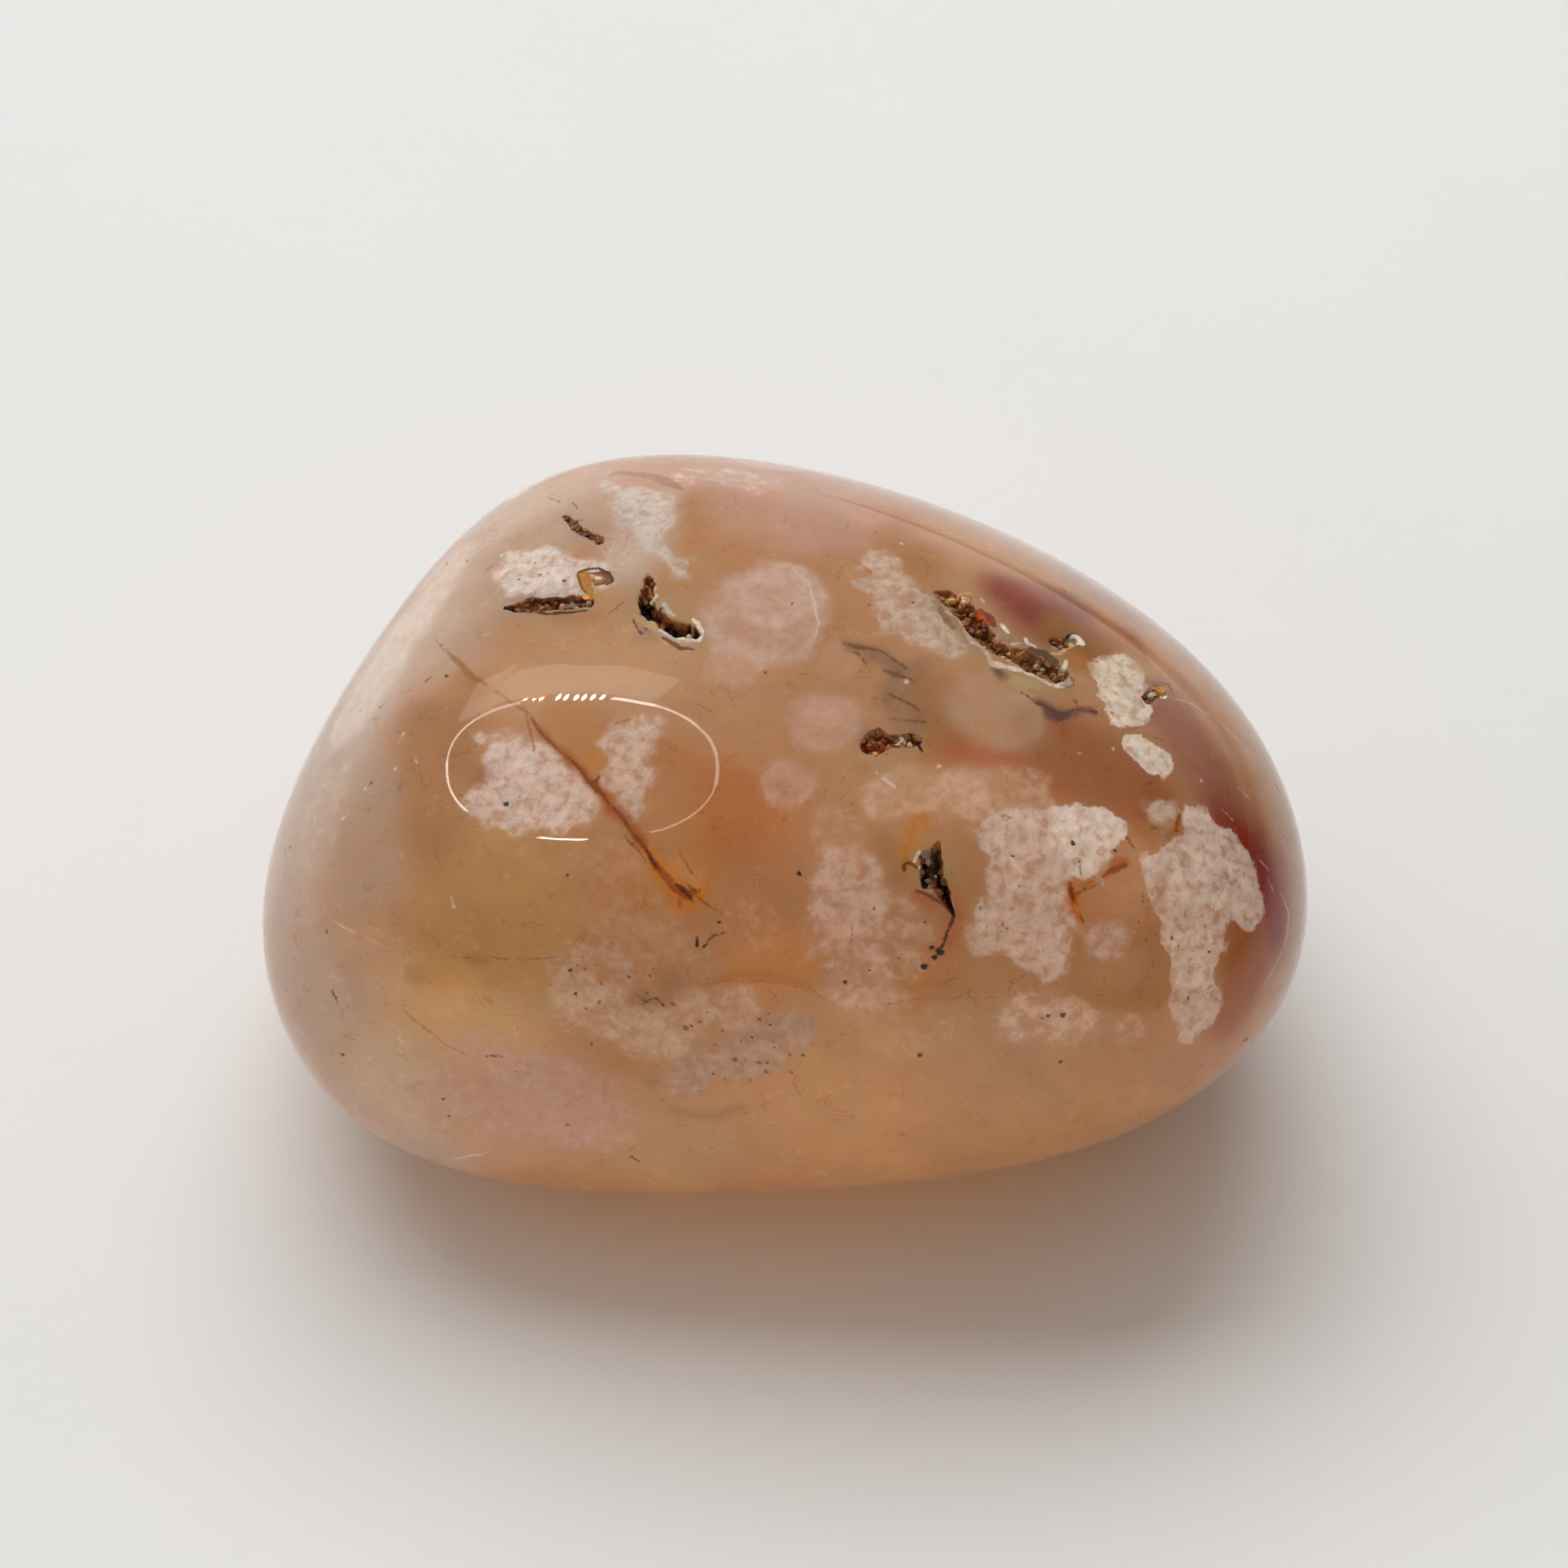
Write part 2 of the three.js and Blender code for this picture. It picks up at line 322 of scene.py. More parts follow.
# Little light reaches the hollows, so the dark colours painted in them are lighter than they look, by this
# share. A colour is dark up to the first amount of light, and no longer dark from the second on.
IN_SHADE = 1.3
DARK_COLOURS = (0.1, 0.6)
BRIGHTEST_PAINT = 0.85
PAINT = {
    "slot": [
        (TAN, [(-5.15, 7.6, 0.09)]),
        ((140, 105, 60), [(-5.3, 6.85, 0.06), (-4.95, 6.85, 0.07)]),
        (UMBER, [(-5.35, 7.3, 0.06), (-5.1, 7.42, 0.06), (-4.85, 7.56, 0.05)]),
        (NEAR_BLACK, [(-5.12, 7.78, 0.1)]),
        (NEAR_BLACK, [(-5.38, 7.05, 0.1), (-5.27, 6.75, 0.19), (-5.12, 6.5, 0.24), (-4.8, 6.3, 0.16)]),
        (UMBER, [(-5.1, 7.05, 0.09)]),
        (TAN, [(-5.25, 7.17, 0.05)]),
        (PALE_PINK, [(-4.92, 7.37, 0.11)]),
        (FROST_AND_GLINT, [(-4.87, 7.05, 0.12)]),
        ((196, 178, 158), [(-4.5, 6.78, 0.1), (-4.35, 6.5, 0.08), (-4.1, 6.32, 0.06)]),
        (UMBER, [(-4.63, 6.6, 0.07)]),
    ],
    "hole": [
        (SIENNA, [(-4.7, 6.35, 0.1), (-4.45, 6.1, 0.2), (-4.3, 5.98, 0.12)]),
        (NEAR_BLACK, [(-4.5, 6.15, 0.12), (-4.1, 5.9, 0.24), (-3.7, 5.86, 0.26), (-3.36, 5.72, 0.17)]),
        ((134, 92, 66), [(-3.48, 5.95, 0.06)]),
        ((110, 52, 24), [(-4.7, 5.93, 0.05), (-4.4, 5.83, 0.05)]),
        # Painted highlight: the pale rim at the hole's right end.
        (FROST_AND_GLINT, [(-3.45, 6.2, 0.05), (-3.28, 6.05, 0.07), (-3.12, 5.85, 0.07), (-3.2, 5.64, 0.04)]),
        ((196, 142, 116), [(-4.35, 5.52, 0.08), (-3.85, 5.32, 0.1), (-3.4, 5.36, 0.1)]),
        # Painted shadow: a dark red band under the pinkish bulge below the hole.
        ((118, 58, 34), [(-4.55, 5.52, 0.05), (-4.2, 5.28, 0.08), (-3.9, 5.12, 0.07), (-3.4, 5.08, 0.04)]),
        # Painted highlight: the hole's pale, polished lower lip.
        ((232, 200, 176), [(-4.68, 5.8, 0.05), (-4.2, 5.6, 0.08), (-3.7, 5.5, 0.09), (-3.2, 5.45, 0.08),
                           (-3.05, 5.75, 0.07)]),
        ((168, 122, 100), [(-5.5, 6.0, 0.1), (-5.3, 5.8, 0.14), (-5.05, 5.7, 0.12)]),
        ((112, 62, 40), [(-5.65, 6.2, 0.03), (-5.55, 5.9, 0.04), (-5.35, 5.65, 0.05)]),
        ((96, 50, 34), [(-5.2, 5.85, 0.05)]),
    ],
    "spindle": [
        ((112, 70, 42), [(-10.0, 6.66, 0.12), (-9.2, 6.7, 0.16), (-8.6, 6.74, 0.16)]),
        (STEEL, [(-8.5, 6.85, 0.12), (-7.9, 6.88, 0.12)]),
        (UMBER, [(-9.7, 6.95, 0.05), (-9.0, 6.98, 0.03), (-8.2, 7.02, 0.04), (-7.5, 7.0, 0.04)]),
        (UMBER, [(-10.1, 6.5, 0.03), (-9.0, 6.42, 0.05), (-8.0, 6.45, 0.06), (-7.4, 6.55, 0.03)]),
        (NEAR_BLACK, [(-10.45, 6.63, 0.09), (-10.2, 6.66, 0.1)]),
        (UMBER, [(-8.65, 6.6, 0.06), (-8.6, 6.95, 0.05)]),
        # Painted glint on the spindle's grey end.
        (FROST_AND_GLINT, [(-7.88, 6.72, 0.04), (-7.62, 6.8, 0.05), (-7.4, 6.86, 0.03)]),
    ],
    "amber drop": [
        ((182, 122, 48), [(-7.5, 7.85, 0.2), (-7.45, 7.5, 0.17), (-7.3, 7.15, 0.14)]),
        ((164, 108, 50), [(-6.95, 7.72, 0.28), (-6.6, 7.66, 0.16)]),
        ((96, 54, 26), [(-7.75, 7.95, 0.03), (-7.5, 8.06, 0.04), (-7.0, 8.12, 0.05), (-6.65, 7.95, 0.06),
                 (-6.45, 7.65, 0.07), (-6.7, 7.48, 0.03)]),
        ((118, 68, 26), [(-7.25, 7.93, 0.03), (-6.82, 7.95, 0.04), (-6.66, 7.75, 0.04), (-6.8, 7.55, 0.04),
                         (-7.15, 7.5, 0.03)]),
        ((96, 52, 20), [(-7.76, 7.9, 0.03), (-7.66, 7.5, 0.03), (-7.45, 7.2, 0.03)]),
        # Painted glint in the middle of the amber drop.
        (FROST_AND_GLINT, [(-7.08, 7.8, 0.06), (-6.95, 7.76, 0.07)]),
    ],
    "nick": [
        ((86, 46, 22), [(-8.25, 10.1, 0.09), (-8.0, 9.85, 0.07), (-7.7, 9.55, 0.05)]),
        ((60, 26, 12), [(-7.6, 9.45, 0.07), (-7.4, 9.36, 0.1), (-7.05, 9.27, 0.08)]),
    ],
    "groove": [
        ((150, 106, 74), [(5.85, 6.6, 0.08), (6.2, 6.12, 0.14), (6.38, 5.85, 0.08)]),
        ((112, 58, 20), [(5.65, 7.22, 0.04), (5.85, 7.28, 0.06)]),
        (TAN, [(5.7, 6.85, 0.08), (6.02, 6.75, 0.08)]),
        ((96, 56, 32), [(6.3, 6.8, 0.16), (6.6, 6.6, 0.17)]),
        ((60, 28, 20), [(6.75, 6.4, 0.14), (7.0, 6.1, 0.13), (7.2, 5.75, 0.16)]),
        (NEAR_BLACK, [(7.0, 6.64, 0.08)]),
        (NEAR_BLACK, [(7.25, 5.72, 0.08)]),
        ((130, 92, 62), [(7.08, 6.45, 0.05)]),
        ((152, 116, 90), [(7.42, 5.75, 0.06)]),
        ((140, 58, 16), [(7.4, 6.5, 0.12), (7.7, 6.25, 0.2), (7.9, 6.0, 0.12)]),
        ((84, 46, 24), [(7.4, 6.2, 0.05), (7.7, 5.8, 0.07), (7.85, 5.4, 0.07), (7.98, 5.0, 0.06),
                        (8.2, 4.85, 0.05)]),
        ((204, 170, 122), [(6.15, 6.98, 0.06), (6.25, 7.16, 0.05)]),
        ((206, 152, 102), [(6.6, 7.14, 0.05), (7.0, 7.18, 0.05)]),
        ((206, 172, 124), [(6.84, 6.95, 0.1)]),
        ((182, 148, 92), [(6.3, 6.9, 0.09), (6.5, 6.8, 0.06)]),
        ((170, 128, 84), [(8.5, 5.12, 0.06), (9.1, 5.0, 0.07)]),
        ((150, 116, 54), [(7.05, 7.0, 0.06)]),
        (PALE_PINK, [(7.42, 6.97, 0.06), (7.52, 6.84, 0.07)]),
        # Painted highlights: the pale, polished lower lip of the groove.
        (PALE_PINK, [(6.1, 6.5, 0.05), (6.5, 6.3, 0.06), (6.75, 5.95, 0.07), (6.9, 5.6, 0.07),
                     (7.1, 5.35, 0.08), (7.42, 5.22, 0.08)]),
        (PALE_PINK, [(7.5, 5.1, 0.08), (7.7, 4.8, 0.09), (7.85, 4.5, 0.1), (8.1, 4.42, 0.1)]),
        ((172, 124, 100), [(8.1, 5.5, 0.12), (8.5, 5.42, 0.14), (8.8, 5.4, 0.08)]),
        (FROST_AND_GLINT, [(8.2, 6.0, 0.05), (8.35, 5.8, 0.09), (8.42, 5.7, 0.07)]),
        (PALE_PINK, [(8.58, 5.25, 0.05), (8.9, 5.3, 0.04)]),
        ((226, 202, 182), [(9.08, 5.5, 0.06), (9.18, 5.3, 0.07), (9.42, 5.18, 0.06)]),
        ((96, 66, 38), [(9.3, 5.05, 0.14), (9.8, 4.9, 0.17), (10.15, 4.6, 0.2)]),
        ((120, 82, 60), [(9.1, 4.95, 0.08), (9.5, 4.72, 0.1)]),
        ((44, 20, 9), [(8.7, 4.92, 0.06), (8.85, 4.75, 0.13), (9.1, 4.6, 0.1), (9.55, 4.4, 0.08)]),
        ((110, 70, 36), [(8.4, 4.88, 0.08)]),
        ((162, 122, 82), [(8.1, 4.9, 0.03), (8.3, 4.74, 0.04), (8.55, 4.7, 0.04), (8.62, 4.95, 0.04)]),
        ((94, 54, 28), [(9.3, 4.4, 0.05), (10.0, 4.05, 0.08)]),
        ((142, 106, 76), [(9.9, 4.36, 0.05), (10.2, 4.15, 0.08)]),
        (NEAR_BLACK, [(10.4, 4.15, 0.07), (10.5, 3.88, 0.1)]),
        # Painted highlight along the lower lip at the groove's right end.
        ((230, 198, 168), [(8.0, 4.55, 0.07), (8.3, 4.42, 0.08), (8.8, 4.3, 0.08), (9.2, 4.16, 0.07),
                           (9.6, 3.98, 0.07), (10.0, 3.78, 0.07), (10.3, 3.68, 0.08)]),
        (FROST_AND_GLINT, [(9.66, 4.6, 0.07)]),
        (FROST_AND_GLINT, [(10.6, 4.66, 0.06), (10.6, 4.45, 0.09), (10.5, 4.3, 0.07)]),
        (FROST_AND_GLINT, [(10.74, 4.1, 0.08), (10.78, 3.85, 0.13), (10.5, 3.7, 0.1), (10.3, 3.7, 0.07)]),
    ],
    "side pit": [
        (NEAR_BLACK, [(10.2, 5.32, 0.14), (10.35, 5.14, 0.1)]),
        (STEEL, [(10.47, 5.36, 0.09)]),
        (NEAR_BLACK, [(10.68, 5.55, 0.06), (10.9, 5.66, 0.05)]),
        ((236, 226, 208), [(10.76, 5.45, 0.1), (11.0, 5.5, 0.17), (11.17, 5.32, 0.16)]),
        ((214, 166, 112), [(10.1, 4.9, 0.06), (10.4, 4.9, 0.06), (10.65, 5.13, 0.06), (10.82, 5.2, 0.05)]),
    ],
    "golden pit": [
        ((92, 52, 22), [(13.65, 3.2, 0.12)]),
        (GOLD, [(14.0, 3.6, 0.12), (14.4, 3.58, 0.1)]),
        ((132, 86, 42), [(14.2, 3.82, 0.04), (14.5, 3.75, 0.04), (14.6, 3.5, 0.04)]),
        # Painted sparkles: two bright glints in the golden pit.
        ((255, 244, 206), [(13.85, 3.34, 0.12)]),
        ((255, 244, 206), [(14.3, 3.32, 0.12)]),
    ],
    "brown pit": [
        ((116, 68, 38), [(3.3, 1.6, 0.25), (3.7, 1.5, 0.3), (4.05, 1.5, 0.15)]),
        ((98, 50, 26), [(3.2, 1.95, 0.04), (3.6, 2.08, 0.05), (4.0, 1.7, 0.05), (4.35, 1.45, 0.05)]),
        ((184, 120, 70), [(3.3, 1.15, 0.04), (3.9, 1.1, 0.05)]),
        (NEAR_BLACK, [(4.78, 1.86, 0.06)]),
        (NEAR_BLACK, [(5.05, 1.5, 0.08), (5.2, 1.2, 0.03)]),
        # Painted glint to the right of the brown pit.
        (FROST_AND_GLINT, [(4.4, 1.72, 0.07), (4.65, 1.62, 0.12), (4.9, 1.5, 0.09)]),
    ],
    "black pit": [
        ((132, 66, 40), [(5.0, -4.0, 0.05), (5.4, -4.17, 0.05), (5.8, -4.42, 0.05), (6.1, -4.65, 0.05)]),
        # Painted highlights: grey reflections on the black pit's glossy plates.
        ((140, 116, 96), [(5.3, -2.62, 0.12), (5.6, -2.56, 0.12)]),
        (NEAR_BLACK, [(5.3, -3.0, 0.09), (5.3, -3.4, 0.1), (5.3, -3.8, 0.14)]),
        (NEAR_BLACK, [(5.68, -2.68, 0.1), (5.8, -3.0, 0.1), (5.75, -3.4, 0.11)]),
        # Painted highlight on a black plate.
        ((120, 104, 92), [(5.55, -2.85, 0.07), (5.55, -3.2, 0.07)]),
        (NEAR_BLACK, [(5.8, -3.55, 0.1), (5.95, -3.9, 0.17), (6.1, -4.3, 0.12), (6.25, -4.6, 0.09),
                (6.36, -4.9, 0.07)]),
        # Painted highlights on the lower black plates.
        ((140, 122, 106), [(5.55, -3.95, 0.13), (5.5, -4.08, 0.07)]),
        ((188, 170, 150), [(5.6, -3.56, 0.1), (5.55, -3.66, 0.07)]),
        ((222, 202, 178), [(4.92, -2.92, 0.06), (5.0, -2.7, 0.07), (5.1, -2.56, 0.05)]),
        (UMBER, [(5.12, -2.78, 0.06)]),
        ((222, 202, 178), [(5.1, -3.12, 0.05)]),
        (FROST_AND_GLINT, [(5.22, -3.52, 0.06), (5.3, -3.3, 0.04)]),
        (PALE_PINK, [(5.66, -2.44, 0.06)]),
        (SIENNA, [(5.8, -2.25, 0.08)]),
    ],
}

# The crystals that line the hollows: how many, the shortest and longest, how many sides each has, their tint
# and how bright they get.
CRYSTALS = 620
CRYSTAL_LENGTHS = (0.1, 0.42)
CRYSTAL_SIDES = 6
CRYSTAL_TINT = (1.0, 0.9, 0.76)
BRIGHTEST_CRYSTAL = 0.8

# A crystal stands where the skin is sunken by at least this share, and leans at random. Its width, where
# its point starts and how deep its foot is sunk are shares of its length. It is darker or lighter than the
# floor by a factor, and what stands out of the skin is held under it.
CRYSTAL_ROOM = 0.6
CRYSTAL_LEAN = 0.75
CRYSTAL_WIDTHS = (0.28, 0.42)
CRYSTAL_SHOULDERS = (0.45, 0.7)
CRYSTAL_FOOT = 0.3
CRYSTAL_SHADES = (0.5, 1.25)
UNDER_SKIN = 1.0015

# The colours of the matrix between the plumes: soft zones along [across, up] places, with a radius, a colour
# and how much of it there is.
AMBER = (184, 144, 94)
YELLOW = (206, 166, 114)
ORANGE = (180, 108, 44)
PINK_BROWN = (186, 148, 128)
GREY_PINK = (178, 154, 138)
PALE_GREY = (196, 177, 164)
CRIMSON = (136, 50, 20)
DEEP_RED = (140, 34, 6)
VIOLET = (160, 106, 86)
PEACH = (184, 142, 108)
MATRIX = (181, 132, 91)
# A zone is even up to the first share of its radius, ends at the second, and is looked for up to the third.
ZONE_CORE = 0.35
ZONE_EDGE = 1.35
ZONE_MARGIN = 1.4
ZONES = [
    ([(-11.5, -5.0)], 4.4, AMBER, 0.9),
    ([(-11.5, -9.0)], 2.6, YELLOW, 0.8),
    ([(-14.0, -8.6)], 2.4, YELLOW, 0.5),
    ([(-12.8, 2.4), (-13.4, -1.4)], 1.9, (164, 118, 78), 0.85),
    ([(-5.4, 10.6), (-5.2, 8.8)], 1.7, (196, 172, 154), 0.85),
    ([(-16.8, 1.6), (-18.4, -3.0), (-18.2, -7.0), (-16.8, -10.6), (-14.4, -13.4)], 3.2, GREY_PINK, 0.95),
    ([(-15.2, -10.6)], 2.4, (190, 164, 134), 0.8),
    ([(-14.6, 5.0)], 3.0, PALE_GREY, 0.85),
    ([(-12.6, 5.8), (-10.8, 8.4), (-8.6, 10.2)], 2.6, (186, 158, 136), 0.85),
    ([(-1.6, -1.2)], 1.8, ORANGE, 0.75),
    ([(-4.0, 0.3)], 1.5, (176, 116, 66), 0.8),
    ([(-9.0, 4.6), (-5.5, 4.4)], 2.0, (190, 144, 102), 0.8),
    ([(-7.8, 2.4), (-6.2, 0.4)], 1.4, (184, 122, 54), 0.85),
    ([(-15.6, -0.6), (-16.0, -3.2)], 1.8, (170, 142, 120), 0.9),
    ([(-3.6, -2.6), (-5.8, -3.9)], 1.4, (184, 132, 70), 0.7),
    ([(5.2, 8.2)], 1.4, (166, 112, 62), 0.8),
    ([(3.6, 10.0)], 2.2, (170, 112, 72), 0.75),
    ([(-1.0, 10.6), (2.0, 9.8)], 1.8, (190, 148, 126), 0.8),
    ([(-5.5, 12.3), (-2.5, 12.0)], 2.2, PINK_BROWN, 0.6),
    ([(11.0, 7.8), (12.4, 6.8)], 1.3, (160, 120, 98), 0.8),
    ([(11.6, 6.2), (13.0, 5.2)], 1.1, (156, 92, 44), 0.9),
    ([(14.0, 5.3), (14.8, 4.0), (16.0, 2.6), (16.9, 1.3)], 1.0, (190, 144, 112), 0.8),
    ([(10.6, 6.9)], 1.2, (138, 78, 54), 0.85),
    ([(9.2, 6.9), (10.0, 6.0)], 1.6, CRIMSON, 0.97),
    ([(10.1, 6.1)], 0.9, (104, 44, 34), 0.7),
    ([(10.5, 5.9), (11.2, 5.1), (11.5, 4.7)], 0.9, (152, 88, 16), 0.9),
    ([(14.2, 3.0), (15.2, 1.6), (16.2, 0.2)], 1.5, VIOLET, 0.9),
    ([(16.6, -0.6), (17.4, -1.8)], 1.3, (140, 62, 42), 0.9),
    ([(17.4, -2.2), (18.1, -3.4), (18.5, -5.4)], 1.7, DEEP_RED, 0.97),
    ([(17.3, -6.4), (17.0, -8.2)], 1.5, (160, 88, 38), 0.9),
    ([(10.8, 1.2), (13.0, -0.2)], 1.9, (154, 88, 38), 0.85),
    ([(5.9, 3.4), (6.3, 1.8)], 1.2, (150, 96, 44), 0.8),
    ([(9.7, 2.0)], 0.9, (156, 106, 60), 0.6),
    ([(13.0, -3.9)], 1.3, (196, 148, 108), 0.75),
    ([(12.9, -6.8)], 1.2, (190, 144, 106), 0.7),
    ([(-15.4, -6.6)], 1.5, (194, 162, 132), 0.7),
    ([(6.0, 0.8)], 1.2, (172, 116, 62), 0.6),
    ([(-1.2, -6.8), (0.2, -6.5)], 1.6, (200, 140, 84), 0.8),
    ([(-6.2, -10.6)], 1.4, (186, 130, 72), 0.7),
    ([(8.5, -9.5)], 3.4, PEACH, 0.8),
    ([(2.0, -12.0)], 4.5, (198, 150, 98), 0.85),
    ([(10.0, -12.0)], 4.5, (180, 136, 90), 0.8),
    ([(-5.0, -13.6)], 3.4, (184, 148, 108), 0.8),
    ([(-10.0, -12.5)], 3.0, (188, 156, 130), 0.7),
    ([(5.2, -8.6)], 1.5, (186, 128, 70), 0.75),
]

# The plumes that lie at the skin have scalloped edges. Each has a colour, how solid it is, how faded its edge
# is, and an outline of [across, up].
CREAM = (222, 205, 192)
PINK_CREAM = (212, 188, 176)
PLUMES = {
    "upper left": (
        (218, 200, 188), 0.9, 0.7,
        [(-10.9, 7.8), (-10.4, 8.7), (-9.0, 9.0), (-8.0, 8.75), (-7.2, 8.5), (-6.4, 8.6), (-6.1, 8.0),
         (-6.5, 7.3), (-7.4, 7.0), (-8.6, 7.0), (-10.0, 7.0), (-10.7, 6.9)],
    ),
    "top": (
        (200, 186, 174), 0.8, 0.55,
        [(-6.9, 11.4), (-5.3, 11.3), (-4.6, 11.1), (-4.1, 10.75), (-3.95, 10.35), (-4.15, 9.9), (-4.3, 9.3),
         (-4.2, 8.8), (-3.9, 8.5), (-3.3, 8.5), (-3.7, 7.7), (-4.2, 7.8), (-4.7, 8.4), (-5.4, 8.8),
         (-6.0, 9.5), (-6.4, 10.2), (-6.7, 10.8)],
    ),
    "feather": (
        (196, 166, 144), 0.9, 0.4,
        [(2.6, 8.3), (3.2, 8.85), (4.0, 8.8), (4.5, 8.4), (4.9, 7.7), (5.4, 7.1), (6.2, 6.3), (6.8, 5.6),
         (7.1, 4.9), (6.5, 4.6), (5.6, 4.8), (4.7, 5.2), (4.0, 5.6), (3.3, 6.0), (2.9, 6.7), (3.3, 7.05),
         (2.5, 7.3), (2.5, 7.7), (3.1, 7.9), (2.5, 8.1)],
    ),
    "butterfly left": (
        PINK_CREAM, 0.85, 0.6,
        [(-11.5, 2.0), (-11.3, 1.0), (-11.2, 0.2), (-12.1, -0.45), (-12.35, -0.9), (-11.5, -1.25),
         (-10.2, -1.85), (-8.8, -2.25), (-7.5, -1.5), (-6.8, -0.9), (-7.3, 0.1), (-8.0, 0.8), (-8.9, 1.55),
         (-10.0, 1.9)],
    ),
    "butterfly right": (
        (202, 174, 156), 0.85, 0.6,
        [(-7.0, 1.6), (-6.3, 2.3), (-5.5, 2.6), (-4.9, 2.7), (-4.4, 2.4), (-4.4, 1.9), (-4.9, 1.6),
         (-5.1, 1.0), (-4.7, 0.3), (-5.1, -0.3), (-5.1, -1.0), (-5.8, -1.5), (-6.4, -0.8), (-6.9, 0.2)],
    ),
    "oval": (
        (222, 202, 180), 0.97, 0.0,
        [(11.4, 4.5), (11.7, 4.8), (12.2, 4.85), (12.6, 5.0), (13.1, 4.8), (13.5, 4.3), (13.7, 3.8),
         (13.9, 3.3), (14.1, 2.6), (13.8, 2.2), (13.3, 2.05), (12.7, 2.1), (12.2, 2.4), (11.9, 3.0),
         (11.6, 3.7)],
    ),
    "lower oval": (
        (224, 206, 188), 0.97, 0.0,
        [(12.6, 1.6), (12.9, 1.9), (13.5, 1.85), (14.1, 1.5), (14.6, 1.1), (14.8, 0.6), (14.7, 0.15),
         (14.4, 0.05), (13.8, 0.3), (13.4, 0.6), (13.0, 1.0), (12.7, 1.2)],
    ),
    "cluster bright": (
        CREAM, 0.92, 0.0,
        [(10.0, -0.8), (10.9, -0.55), (11.4, -0.65), (12.0, -0.9), (12.5, -1.1), (12.85, -1.5),
         (12.95, -2.0), (12.7, -2.4), (12.6, -2.8), (12.2, -3.2), (11.9, -3.6), (11.3, -3.75),
         (10.9, -3.6), (10.2, -3.2), (9.8, -2.2), (9.6, -1.3)],
    ),
    "cluster": (
        PINK_CREAM, 0.8, 0.5,
        [(7.4, -1.3), (7.1, -1.8), (7.4, -2.4), (7.9, -2.8), (7.5, -3.2), (7.5, -4.0), (7.3, -4.6),
         (6.8, -5.5), (7.0, -6.2), (7.6, -6.7), (8.4, -6.6), (8.8, -7.1), (9.4, -7.2), (9.8, -7.6),
         (10.4, -7.5), (10.7, -7.2), (10.9, -6.7), (10.9, -5.2), (10.8, -3.9), (11.0, -2.6), (10.2, -1.2),
         (9.0, -0.8)],
    ),
    "pale disc": (
        (208, 182, 168), 0.7, 0.9,
        [(11.3, -5.6), (11.9, -5.0), (12.6, -5.1), (13.0, -5.8), (12.7, -6.6), (12.0, -6.9), (11.4, -6.5)],
    ),
    "tree": (
        (220, 198, 186), 0.9, 0.15,
        [(15.0, -0.8), (15.9, -0.7), (16.1, -1.0), (16.8, -1.5), (17.3, -2.3), (17.7, -3.2), (18.1, -4.1),
         (18.1, -5.0), (18.0, -5.5), (17.6, -5.7), (17.1, -5.65), (16.65, -5.2), (16.6, -5.8),
         (16.4, -6.8), (16.5, -7.4), (16.2, -7.9), (15.5, -8.1), (14.9, -7.9),
         (14.5, -7.5), (14.3, -6.6), (14.0, -6.0), (13.8, -5.2), (13.8, -4.4),
         (13.4, -3.6), (13.2, -3.0), (13.5, -2.6), (14.5, -2.2), (15.0, -1.9)],
    ),
    "tree foot": (
        (204, 180, 166), 0.9, 0.15,
        [(16.5, -7.3), (16.5, -8.3), (16.1, -9.0), (15.7, -9.5), (15.2, -9.8), (14.8, -9.5), (14.4, -9.0),
         (14.2, -8.4), (14.5, -7.4)],
    ),
    "tree crown": (
        (208, 188, 168), 0.75, 0.4,
        [(13.5, -0.8), (14.2, -0.45), (14.9, -0.75), (14.9, -1.5), (14.3, -1.9), (13.7, -1.5)],
    ),
    "speckled": (
        (182, 148, 124), 0.85, 0.6,
        [(-4.6, -11.9), (-4.4, -11.0), (-4.0, -10.3), (-3.0, -9.9), (-2.0, -9.3), (-1.2, -8.8),
         (-0.3, -8.6), (0.6, -8.4), (1.05, -8.8), (1.3, -9.4), (0.6, -10.4), (-0.1, -10.8), (-0.8, -11.1),
         (-1.5, -11.35), (-2.3, -11.3), (-3.0, -11.6), (-3.8, -12.0)],
    ),
}
